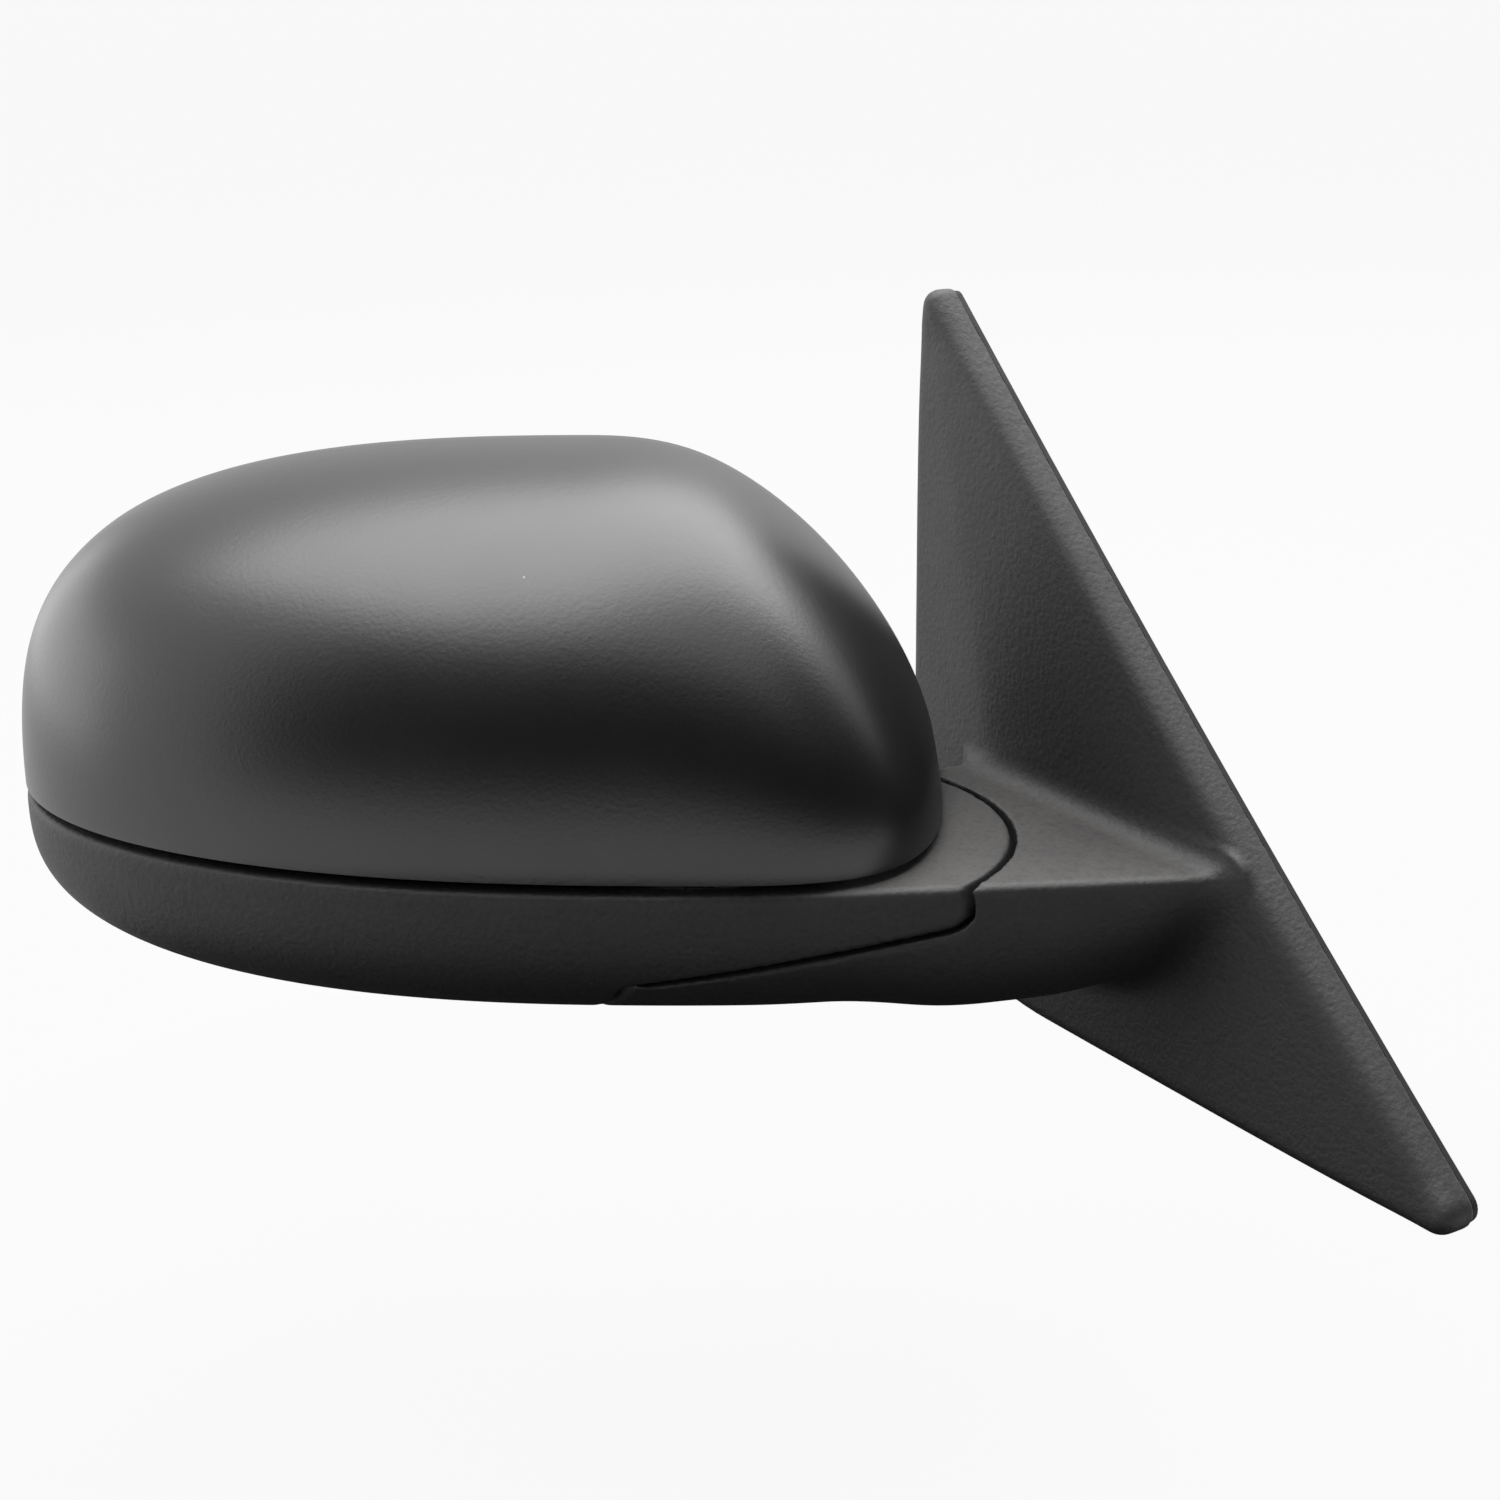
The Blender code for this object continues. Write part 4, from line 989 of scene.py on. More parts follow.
@dataclass(frozen=True)
class Finish:
    """What every finish has: a slot, a colour and how rough and even it is."""

    slot: Slot
    colour: Colour
    roughness: float
    metallic: float = 0.0
    gloss: float = 0.5
    drift: float = 0.25
    drift_scale: float = 14.0
    rough_drift: float = 0.25
    edge: float = 0.3
    edge_colour: Colour = (0.12, 0.12, 0.12)
    edge_polish: float = 0.12
    dust_and_top_light: float = 0.0
    # Colour of the upward film, partly dust and partly painted top light.
    dust_and_top_light_colour: Colour = (0.2, 0.19, 0.18)
    speck_colour: Colour = (0.25, 0.245, 0.24)

    def start(
        self, effects: SharedEffects
    ) -> tuple[Material, NodeSheet, Node]:
        """Material whose colour and roughness drift, with rubbed edges, dust and painted top
        light.

        Args:
            effects: The shared node groups.

        Returns:
            The material, its sheet, and its Principled shader.
        """
        material = bpy.data.materials.new(self.slot.value + "_finish")
        material.use_nodes = True
        sheet = NodeSheet(material.node_tree)
        shader = material.node_tree.nodes["Principled BSDF"]
        shader.inputs["Metallic"].default_value = self.metallic
        shader.inputs["Specular IOR Level"].default_value = self.gloss
        drift = self.effect(sheet, effects.drift, Scale=self.drift_scale, Amount=self.drift)
        base = sheet.add("ShaderNodeVectorMath", {"operation": "SCALE"})
        base.inputs[0].default_value = self.colour
        sheet.feed(base.inputs["Scale"], drift.outputs["Tone"])
        rub = self.effect(sheet, effects.rub)
        worn = sheet.math("MULTIPLY", rub.outputs["Mask"], self.edge)
        colour = sheet.blend(worn, base.outputs["Vector"], (*self.edge_colour, 1.0))
        # Dust specks, and an upward film that is partly dust and partly painted top light.
        if self.dust_and_top_light > 0.0:
            dust_and_top_light = self.effect(sheet, effects.dust_and_top_light)
            film = sheet.math("MULTIPLY", dust_and_top_light.outputs["Film_and_top_light"], self.dust_and_top_light)
            colour = sheet.blend(film, colour, (*self.dust_and_top_light_colour, 1.0))
            colour = sheet.blend(dust_and_top_light.outputs["Specks"], colour, (*self.speck_colour, 1.0))
        sheet.feed(shader.inputs["Base Color"], colour)
        swing = sheet.math("MULTIPLY", drift.outputs["Step"], self.rough_drift)
        step = sheet.math("ADD", swing, self.roughness)
        polish = sheet.math("MULTIPLY", worn, self.edge_polish)
        sheet.feed(shader.inputs["Roughness"], sheet.math("SUBTRACT", step, polish))
        return material, sheet, shader

    @staticmethod
    def effect(sheet: NodeSheet, tree: Tree, **values: float) -> Node:
        """Place a shared group in a material with its own values."""
        node = sheet.add("ShaderNodeGroup", {"node_tree": tree})
        for key, value in values.items():
            node.inputs[key.replace("_", " ")].default_value = value
        return node

    @staticmethod
    def bump(
        sheet: NodeSheet, shader: Node, height: Socket, depth: float
    ) -> None:
        """Wire a height into the shader's normal, with its depth in millimetres."""
        node = sheet.add("ShaderNodeBump", Height=height, Strength=1.0, Distance=depth * MM)
        sheet.feed(shader.inputs["Normal"], node.outputs["Normal"])

    def material(self, effects: SharedEffects) -> Material:
        """Finished material with no relief of its own."""
        return self.start(effects)[0]


@dataclass(frozen=True)
class MouldedPlastic(Finish):
    """Plastic or rubber with the grain of its mould."""

    grain_scale: float = 1100.0
    grain_depth: float = 0.03
    # Painted shade in the grain's pits: how strong it is, and its colour.
    pit_shade: float = 0.2
    pit_shade_colour: Colour = (0.004, 0.004, 0.004)

    def material(self, effects: SharedEffects) -> Material:
        """Material with pebbled relief, and its pits made slightly darker by painted shade."""
        material, sheet, shader = self.start(effects)
        grain = self.effect(sheet, effects.grain, Scale=self.grain_scale)
        self.bump(sheet, shader, grain.outputs["Height"], self.grain_depth)
        # Painted shade: the grain's pits get a darker base colour.
        pits = sheet.math("MULTIPLY", grain.outputs["Pits"], self.pit_shade)
        plain = shader.inputs["Base Color"].links[0].from_socket
        pitted = sheet.blend(pits, plain, (*self.pit_shade_colour, 1.0))
        sheet.feed(shader.inputs["Base Color"], pitted)
        return material


@dataclass(frozen=True)
class WorkedMetal(Finish):
    """Metal with fine marks of how it was made."""

    metallic: float = 1.0
    lay: Lay = Lay.EVEN
    mark_scale: float = 1400.0
    mark_depth: float = 0.01

    def material(self, effects: SharedEffects) -> Material:
        """Material with tool marks in its relief."""
        material, sheet, shader = self.start(effects)
        x, y, z = self.lay.value
        marks = self.effect(
            sheet, effects.marks, Scale=self.mark_scale, Along_X=x, Along_Y=y, Along_Z=z
        )
        self.bump(sheet, shader, marks.outputs["Height"], self.mark_depth)
        return material


@dataclass(frozen=True)
class Finishes:
    """All finishes of the mirror, made into materials once."""

    effects: SharedEffects
    cap: Finish = MouldedPlastic(
        Slot.CAP, (0.009, 0.009, 0.0094), 0.35, gloss=0.9,
        edge=0.25, drift=0.08, rough_drift=0.04, dust_and_top_light=0.01,
        grain_scale=1000.0, grain_depth=0.035, pit_shade=0.1,
    )
    grained: Finish = MouldedPlastic(
        Slot.GRAINED, (0.029, 0.029, 0.0305), 0.62, gloss=0.75,
        # The strong upward film here is mostly painted top light on the shelf, boss and fillet.
        edge=0.3, drift=0.12, rough_drift=0.08, dust_and_top_light=0.38,
        grain_scale=800.0, grain_depth=0.17, pit_shade=0.35,
    )
    inner: Finish = MouldedPlastic(
        Slot.INNER, (0.03, 0.03, 0.032), 0.55, grain_scale=700.0, grain_depth=0.02,
    )
    nylon: Finish = MouldedPlastic(
        Slot.NYLON, (0.66, 0.63, 0.56), 0.42, drift=0.12, edge=0.3, edge_colour=(0.8, 0.78, 0.72),
        grain_scale=500.0, grain_depth=0.008, pit_shade=0.0,
    )
    casting: Finish = WorkedMetal(
        Slot.CASTING, (0.52, 0.53, 0.55), 0.46, drift=0.25, edge_colour=(0.75, 0.76, 0.78),
        mark_scale=420.0, mark_depth=0.06,
    )
    plated: Finish = WorkedMetal(
        Slot.PLATED, (0.6, 0.59, 0.55), 0.3,
        drift_scale=60.0, edge_colour=(0.8, 0.79, 0.76), lay=Lay.ALONG,
    )
    spring: Finish = WorkedMetal(Slot.SPRING, (0.16, 0.16, 0.17), 0.34, lay=Lay.ACROSS)
    rubber: Finish = MouldedPlastic(
        Slot.RUBBER, (0.016, 0.016, 0.016), 0.72, edge=0.15, dust_and_top_light=0.08,
        grain_scale=800.0, grain_depth=0.03,
    )
    brass: Finish = WorkedMetal(
        Slot.BRASS, (0.66, 0.46, 0.19), 0.28, edge_colour=(0.85, 0.66, 0.34), lay=Lay.ACROSS,
    )
    film: Finish = MouldedPlastic(
        Slot.FILM, (0.26, 0.09, 0.035), 0.4, edge_colour=(0.4, 0.2, 0.1),
        grain_scale=300.0, grain_depth=0.01,
    )
    mirror: Finish = WorkedMetal(
        Slot.MIRROR, (0.82, 0.84, 0.86), 0.03,
        drift=0.03, edge=0.2, edge_colour=(0.5, 0.55, 0.56),
        mark_scale=30.0, mark_depth=0.002,
    )
    made: dict[Slot, Material] = field(default_factory=dict)

    def get(self, slot: Slot) -> Material:
        """Material of a slot, built at its first use."""
        if slot not in self.made:
            kinds = [kind for kind in vars(self).values() if isinstance(kind, Finish)]
            finish = next(kind for kind in kinds if kind.slot is slot)
            self.made[slot] = finish.material(self.effects)
        return self.made[slot]

    def dress(self, obj: Piece, slot: Slot) -> None:
        """Give an object one material on all its faces."""
        obj.data.materials.clear()
        obj.data.materials.append(self.get(slot))

    def deliver(
        self, obj: Piece, name: str, body: Body, slot: Slot, *nodes: str
    ) -> None:
        """Name and dress a finished piece, hang it on its body and log it.

        Args:
            obj: The piece, at the origin.
            name: Its name.
            body: What it moves with.
            slot: Its material slot.
            nodes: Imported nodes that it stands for.
        """
        obj.name = name
        obj.data.name = name
        self.dress(obj, slot)
        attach(obj, body.value)
        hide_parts(*nodes)
        obj.data.calc_loop_triangles()
        LOG.info("%s: %d triangles on %s", name, len(obj.data.loop_triangles), body.value)


@dataclass
class Swivel:
    """Round split between the head and the arm, about the leaning fold axis."""

    shape: HeadShape
    floor_s: float = -19.2
    gap: float = 1.2
    boss_r: float = 55.5
    disc_r: float = 56.0
    arm_wall_r: float = 57.0
    skirt_wall_r: float = 57.5
    foot_round: float = 5.0
    reach: float = 300.0

    def half(
        self, side: int, round_r: float, to_target: Matrix, foot: float | None = None
    ) -> Piece:
        """Everything on one side of the fold axis, outside a round wall about it.

        Args:
            side: 0 for inboard, 1 for outboard.
            round_r: Radius of the wall.
            to_target: From the head's frame to the frame of the body to be cut.
            foot: Where the wall ends in a rounded foot, or none.

        Returns:
            The cutter.
        """
        far = self.reach
        low, high = ((-far, 0.0), (0.0, far))[side]
        block = Workbench.block((low, -far, -far), (high, far, far), to_target)
        if foot is None:
            wall = self.round(round_r, -2 * far, 2 * far, to_target)
        else:
            wall = self.round(round_r, foot, 2 * far, to_target, self.foot_round - self.gap)
        return Workbench.combine(block, "DIFFERENCE", wall)

    def round(
        self, radius: float, low: float, high: float, to_target: Matrix, low_round: float = 0.0
    ) -> Piece:
        """Round bar along the fold axis."""
        return Workbench.rod(radius, low, high, to_target @ self.shape.lean(), low_round)


@dataclass
class ScrewHead:
    """Pan head with a cross recess, seen under the arm and the skirt."""

    radius: float = 4.0
    high: float = 1.8
    shank_r: float = 1.5
    slot_long: float = 4.6
    slot_wide: float = 0.9
    slot_deep: float = 1.0
    fit: float = 0.4
    edge_round: float = 0.12
    sides: int = 40
    profile: tuple[Pair, ...] = (
        (0.2, 0.0), (0.5, 0.0), (0.72, 0.06), (0.88, 0.2), (0.97, 0.42), (1.0, 0.66), (1.0, 1.0),
    )

    def under(self, shape: HeadShape, u: float, v: float, tip: float) -> Piece:
        """Screw from below into the arm or the skirt.

        Args:
            shape: Envelope that it goes into.
            u: Its place along the head.
            v: Its place across the head.
            tip: Height at which its shank ends.

        Returns:
            The screw.
        """
        low = shape.belly_at(u, v) - self.fit - self.high
        return self.build(tip - low, shape.place() @ shift(u, v, low))

    def build(self, tip: float, matrix: Matrix) -> Piece:
        """Screw along local Z with its head's top at 0 and its shank upwards.

        Args:
            tip: Where the shank ends along local Z, in millimetres.
            matrix: Place of the head in the shared frame, in metres.

        Returns:
            The screw.
        """
        shank = self.shank_r
        rings = [(r * self.radius, h * self.high) for r, h in self.profile]
        rings += [(shank, self.high), (shank, tip - shank), (0.3 * shank, tip)]
        turns = full_turn(self.sides)
        stack = [[(r * math.cos(a), r * math.sin(a), h) for a in turns] for r, h in rings]
        screw = Workbench.tube(np.array(stack))
        half, wide = self.slot_long / 2.0, self.slot_wide / 2.0
        still = Matrix.Identity(4)
        for low, high in (((-half, -wide), (half, wide)), ((-wide, -half), (wide, half))):
            cutter = Workbench.block((*low, -1.0), (*high, self.slot_deep), still)
            Workbench.combine(screw, "DIFFERENCE", cutter)
        screw.data.transform(matrix)
        Workbench.modify(
            screw, "BEVEL", width=self.edge_round * MM, segments=2, limit_method="ANGLE",
            angle_limit=0.7,
        )
        return Workbench.shade(screw)


@dataclass
class MirrorHead:
    """Cap, skirt and bezel of the swinging head."""

    shape: HeadShape
    swivel: Swivel
    finishes: Finishes
    wall: float = 2.5
    cap_lap: float = 6.0
    way_in: float = 4.5
    way_in_deep: float = 10.0
    post_hole_r: float = 25.0
    voxel: float = 0.7
    smooth_rounds: int = 9
    hull_from_u: float = -75.0
    hull_step: float = 3.0
    lip_round: float = 0.7
    screws_u: Pair = (88.0, 108.0)
    screw_v: float = -2.0
    screw_tip: float = -28.0
    screw_r: float = 1.7
    screw_hole_r: float = 2.2
    screw_hole_low: float = -60.0
    bezel_profile: tuple[Pair, ...] = (
        (-50.4, 0.4), (-51.6, 0.5), (-52.7, 0.8), (-53.5, 1.4), (-54.1, 2.2), (-54.4, 3.2),
        (-54.5, 4.6), (-54.5, 6.6), (-54.5, 8.4), (-54.3, 9.6), (-53.8, 10.6), (-52.9, 11.3),
        (-51.6, 11.65), (-47.0, 11.8), (-38.0, 12.0), (-38.0, 9.6), (-44.0, 9.6), (-50.4, 9.6),
        (-50.4, 5.0),
    )

    def cap_shell(self) -> None:
        """Bulbous upper shell with a thickened, rounded lip."""
        stations = self.shape.stations(0.0, 44, 84)
        rows = np.array([self.shape.cap_arc(u, 56) for u in stations])
        cap = Workbench.sheet(self.shape.to_shared(rows))
        Workbench.modify(cap, "SOLIDIFY", thickness=self.wall * MM, offset=-1.0, use_rim=True)
        Workbench.modify(
            cap, "BEVEL", width=self.lip_round * MM, segments=3, limit_method="ANGLE",
            angle_limit=math.radians(60.0),
        )
        Workbench.shade(cap, 50.0)
        self.finishes.deliver(cap, "cap_shell", Body.HEAD, Slot.CAP, "cap_cover")

    def hull(self, inset: float) -> Piece:
        """Arm and skirt outboard of the swivel as one body in the head's frame."""
        inner = list(np.arange(self.hull_from_u, self.shape.u_mid, self.hull_step))
        outer = eased(self.shape.u_mid, self.shape.u_out - inset, 56)
        return Workbench.tube(np.array([self.shape.section(u, inset) for u in inner + outer]))

    def skirt_shell(self) -> None:
        """Lower shell with the swivel boss, open under the cap and behind."""
        swivel, wall = self.swivel, self.wall
        still, far = Matrix.Identity(4), swivel.reach
        floor = swivel.floor_s + swivel.gap
        cut = "DIFFERENCE"
        skirt = self.hull(0.0)
        Workbench.combine(
            skirt, cut,
            swivel.round(swivel.skirt_wall_r, -far, floor, still),
            swivel.half(0, swivel.boss_r, still, floor),
        )
        hollow = self.hull(wall)
        Workbench.combine(
            hollow, cut,
            swivel.round(swivel.skirt_wall_r + wall, -far, floor + wall, still),
            swivel.half(0, swivel.boss_r - wall, still),
        )
        hole = swivel.round(self.post_hole_r, -far, 0.0, still)
        Workbench.combine(skirt, cut, hollow, hole, self.under_cap(), self.rear_way())
        ends = (self.screw_hole_low, self.screw_tip)
        for u in self.screws_u:
            drill = Workbench.rod(self.screw_hole_r, *ends, shift(u, self.screw_v, 0.0))
            Workbench.combine(skirt, cut, drill)
        skirt.data.transform(self.shape.place())
        Workbench.soften(skirt, self.voxel, self.smooth_rounds)
        self.finishes.deliver(skirt, "skirt_shell", Body.HEAD, Slot.GRAINED, "lower_skirt")

    def under_cap(self) -> Piece:
        """Cutter for the wide opening in the skirt's top, hidden by the cap."""
        lap, rim = self.cap_lap, self.shape.rim_v
        plan = [(u, rim + self.shape.nose(u, lap)) for u in self.shape.stations(lap, 24, 36)[1:]]
        inner_u = self.shape.blend_u[0]
        plan += [(self.shape.u_out - lap, 2 * rim), (inner_u, 2 * rim)]
        plan += [(inner_u, rim + self.wall), (self.shape.u_in + lap, rim + self.wall)]
        heights = (-2.0 * self.wall, self.wall)
        return Workbench.tube(np.array([[(u, v, w) for u, v in plan] for w in heights]))

    def rear_way(self) -> Piece:
        """Cutter for the opening behind, where the bezel's tunnel goes in."""
        loop = self.shape.rear_loop(self.way_in)
        depths = (2.0 * self.shape.rim_v, self.shape.rim_v + self.way_in_deep)
        return Workbench.tube(np.array([[(u, v, w) for u, w in loop] for v in depths]))

    def bezel_frame(self) -> None:
        """Rounded frame round the glass with a short tunnel into the head."""
        loops = []
        for v, inset in self.bezel_profile:
            loops.append([(u, v, w) for u, w in self.shape.rear_loop(inset)])
        bezel = Workbench.band(self.shape.to_shared(np.array(loops)))
        Workbench.shade(bezel, 40.0)
        self.finishes.deliver(bezel, "bezel_frame", Body.HEAD, Slot.GRAINED, "bezel")

    def head_screws(self) -> None:
        """Two screws under the skirt that hold it to the carrier."""
        for number, u in enumerate(self.screws_u, 1):
            kind = ScrewHead(shank_r=self.screw_r)
            screw = kind.under(self.shape, u, self.screw_v, self.screw_tip)
            name, node = f"head_screw_{number}", f"skirt_screw_{number}"
            self.finishes.deliver(screw, name, Body.HEAD, Slot.PLATED, node)

    def build(self) -> None:
        """Make every piece of the head."""
        self.cap_shell()
        self.skirt_shell()
        self.bezel_frame()
        self.head_screws()


@dataclass
class GlassUnit:
    """Silvered glass in its tray, in the rear opening."""

    shape: HeadShape
    finishes: Finishes
    axis_v: float = -33.0
    middle: Pair = (78.0, 34.0)
    pane_inset: float = 18.2
    pane_v: Pair = (-9.2, -11.6)
    pane_bow: float = 1.1
    edge_round: float = 0.5
    tray_inset: float = 16.0
    lip_inset: float = 17.6
    tray_v: Pair = (-6.0, -8.0)
    lip_v: float = -11.0
    hub: float = 0.02
    face_shares: tuple[float, ...] = (0.94, 0.86, 0.76, 0.64, 0.5, 0.35, 0.19)

    def ring(self, inset: float, v: float, share: float = 1.0) -> np.ndarray:
        """Outline of the opening at a depth, drawn in towards a point that sees all of it."""
        loop = self.shape.rear_loop(inset)
        middle = np.array(self.middle)
        drawn = middle + (loop - middle) * share
        return np.column_stack([drawn[:, 0], np.full(len(drawn), self.axis_v + v), drawn[:, 1]])

    def mirror_pane(self) -> None:
        """Slightly convex pane with a ground edge."""
        back, face = self.pane_v
        edge = self.edge_round
        inset, bow = self.pane_inset, self.pane_bow
        rings = [self.ring(inset, back, share) for share in (self.hub, 0.5, 1.0)]
        rings.append(self.ring(inset, face + bow + edge))
        shares = [1.0 - 0.004 * k for k in range(4)] + [*self.face_shares, self.hub]
        for k, share in enumerate(shares):
            ease = edge * max(0.0, 1.0 - k / 3.0) ** 2
            rings.append(self.ring(inset, face + bow * share ** 2 + ease, share))
        pane = Workbench.tube(self.shape.to_shared(np.array(rings)))
        Workbench.shade(pane, 30.0)
        self.finishes.deliver(pane, "mirror_pane", Body.GLASS, Slot.MIRROR, "mirror_glass")

    def glass_tray(self) -> None:
        """Tray whose thin rounded lip holds the pane."""
        back, floor = self.tray_v
        lip = self.lip_v
        wide, thin = self.tray_inset, self.lip_inset
        rings = [self.ring(wide, back, share) for share in (self.hub, 0.6)]
        steps = (
            (wide, back), (wide, lip + 0.9), (wide + 0.15, lip + 0.35), (wide + 0.5, lip),
            (thin - 0.4, lip), (thin - 0.1, lip + 0.3), (thin, lip + 0.8), (thin, floor),
        )
        rings += [self.ring(inset, v) for inset, v in steps]
        rings += [self.ring(thin, floor, share) for share in (0.6, self.hub)]
        tray = Workbench.tube(self.shape.to_shared(np.array(rings)))
        Workbench.shade(tray, 40.0)
        self.finishes.deliver(tray, "glass_tray", Body.GLASS, Slot.INNER, "glass_holder")

    def build(self) -> None:
        """Make both pieces."""
        self.glass_tray()
        self.mirror_pane()


@dataclass
class BaseArm:
    """Arm, swivel disc and sail in one moulding, with what mounts it on the door."""

    shape: HeadShape
    sail: SailShape
    swivel: Swivel
    finishes: Finishes
    wall: float = 2.5
    fillet: float = 6.0
    arm_end_u: float = 75.0
    turn_u: float = -30.0
    root_u: float = -190.0
    arm_step: float = 3.0
    hollow_step: float = 4.0
    reach_steps: int = 25
    flare_deg: tuple[float, ...] = (15.0, 30.0, 45.0, 58.0, 70.0, 80.0, 88.0)
    sunk_x: float = -8.0
    least_z: float = -62.5
    pocket_inset: float = 3.0
    pocket_x: Pair = (-5.8, 4.0)
    post_hole_r: float = 15.0
    voxel: float = 0.75
    smooth_rounds: int = 9
    studs: tuple[Pair, ...] = ((70.0, 50.0), (-58.0, -47.0), (68.0, -44.0))
    stud_r: float = 3.0
    stud_pitch: float = 1.0
    stud_sides: int = 32
    stud_head: Triple = (4.8, -7.0, -5.4)
    stud_out: float = 20.0
    thread_from: float = 2.0
    thread_clear: float = 1.2
    thread_fade: Pair = (1.5, 1.0)
    thread_deep: float = 0.55
    thread_steps: int = 8
    grommet_at: Pair = (20.0, -18.0)
    grommet_sides: int = 72
    screws_u: Pair = (-53.0, -38.0)
    screw_tip: float = -32.0
    screw_hole_r: float = 2.2
    screw_hole_w: Pair = (-60.0, -36.0)
    seal_profile: tuple[Pair, ...] = (
        (-0.9, 0.8), (0.3, 0.8), (0.7, 0.9), (0.9, 1.2), (0.9, 1.6), (0.9, 2.3), (0.7, 2.7),
        (0.3, 2.9), (-0.9, 2.9), (-0.9, 1.6),
    )
    grommet_profile: tuple[Pair, ...] = (
        (5.0, -1.5), (5.4, -0.7), (6.2, -0.3), (7.2, -0.25), (8.4, -0.4), (9.0, -0.9),
        (9.0, -5.2), (9.3, -5.4), (10.7, -5.5), (11.0, -5.9), (11.0, -6.9), (10.6, -7.3),
        (9.0, -7.4), (5.5, -7.4), (5.0, -7.0), (5.0, -4.6), (5.5, -4.2), (5.5, -3.6), (5.0, -3.2),
    )

    def arm_rings(self) -> tuple[np.ndarray, np.ndarray]:
        """Sections from the swivel to the sail, flared into a fillet where they meet its face.

        Returns:
            The rings, and the line below the shelf along which they meet the sail.
        """
        outer = np.arange(self.arm_end_u, self.turn_u, -self.arm_step)
        rings = [self.shape.to_shared(self.shape.section(u)) for u in outer]
        along = np.arange(self.turn_u, self.root_u, -1.0)
        walls = np.array([self.shape.to_shared(self.shape.section(u)) for u in along])
        count = walls.shape[1]

        def at(xs: np.ndarray) -> np.ndarray:
            """Point of each wall line where it reaches its x."""
            spots = np.empty((count, 3))
            for k in range(count):
                line = walls[:, k, :]
                for axis in range(3):
                    spots[k, axis] = np.interp(xs[k], line[:, 0], line[:, axis])
            return spots

        foot = at(np.full(count, self.sail.edge_x - self.sail.crown))
        face = self.sail.face(foot[:, 1], foot[:, 2])
        start = face - self.fillet
        first = walls[0, :, 0]
        for share in np.linspace(0.0, 1.0, self.reach_steps + 1):
            rings.append(at(first + (start - first) * share))
        for turn in np.radians(self.flare_deg):
            ring = at(start + self.fillet * math.sin(turn))
            rings.append(self.flared(ring, self.fillet * (1.0 - math.cos(turn))))
        last = rings[-1].copy()
        last[:, 0] = self.sunk_x
        return np.array(rings + [last]), foot[foot[:, 2] < -self.fillet]

    def flared(self, ring: np.ndarray, out: float) -> np.ndarray:
        """Ring grown square to itself within its plane, and kept on the sail.

        Args:
            ring: Points by 3.
            out: Distance to grow.

        Returns:
            The grown ring.
        """
        ahead = np.roll(ring, -1, axis=0) - ring
        along = ahead + np.roll(ahead, 1, axis=0)
        normal = np.column_stack([along[:, 2], -along[:, 1]])
        normal /= np.maximum(np.linalg.norm(normal, axis=1, keepdims=True), 1e-6)
        middle = ring[:, 1:].mean(axis=0)
        facing = np.sign(((ring[:, 1:] - middle) * normal).sum())
        grown = ring.copy()
        grown[:, 1:] += normal * out * facing
        grown[:, 2] = np.maximum(grown[:, 2], self.least_z)
        return grown

    def base_moulding(self) -> None:
        """Arm and sail in one thin moulding, open to the door."""
        swivel, wall, floor = self.swivel, self.wall, self.swivel.floor_s
        place, still, far = self.shape.place(), Matrix.Identity(4), swivel.reach
        cut = "DIFFERENCE"
        rings, junction = self.arm_rings()
        base = Workbench.tube(rings)
        Workbench.combine(
            base, cut,
            swivel.round(swivel.arm_wall_r, floor, far, place, swivel.foot_round),
            swivel.half(1, swivel.disc_r, place),
        )
        Workbench.combine(base, "UNION", Workbench.tube(self.sail.slab()))
        stations = np.arange(self.arm_end_u, self.root_u, -self.hollow_step)
        hollow = Workbench.tube(np.array([self.shape.section(u, wall) for u in stations]))
        Workbench.combine(
            hollow, cut,
            swivel.round(swivel.arm_wall_r + wall, floor - wall, far, still),
            swivel.half(1, swivel.disc_r - wall, still),
        )
        hollow.data.transform(place)
        pocket = Workbench.tube(self.sail.prism(self.pocket_inset, *self.pocket_x))
        hole = swivel.round(self.post_hole_r, floor - 2 * wall, floor + wall, place)
        Workbench.combine(base, cut, hollow, pocket, hole)
        for u in self.screws_u:
            spot = place @ shift(u, 0.0, 0.0)
            drill = Workbench.rod(self.screw_hole_r, *self.screw_hole_w, spot)
            Workbench.combine(base, cut, drill)
        Workbench.soften(base, self.voxel, self.smooth_rounds, junction)
        self.finishes.deliver(base, "base_moulding", Body.BASE, Slot.GRAINED, "base_cover")

    def door_seal(self) -> None:
        """Soft seal round the sail's door side."""
        loops = [self.sail.ring_at(inset, x) for x, inset in self.seal_profile]
        seal = Workbench.band(np.array(loops))
        Workbench.shade(seal, 40.0)
        self.finishes.deliver(seal, "door_seal", Body.BASE, Slot.RUBBER, "sail_gasket")

    def stud(self, y: float, z: float) -> Piece:
        """Headed stud with a rolled thread, standing out of the bracket towards the door."""
        head_r, head_low, head_high = self.stud_head
        shank_r, tip = self.stud_r, self.stud_out
        start, end = self.thread_from, tip - self.thread_clear
        turns = full_turn(self.stud_sides)
        rings = []

        def ring(x: float, depth: Callable[[float], float]) -> None:
            """Add one ring whose radius may change round it."""
            rings.append([
                (x, y + depth(a) * math.cos(a), z + depth(a) * math.sin(a)) for a in turns
            ])

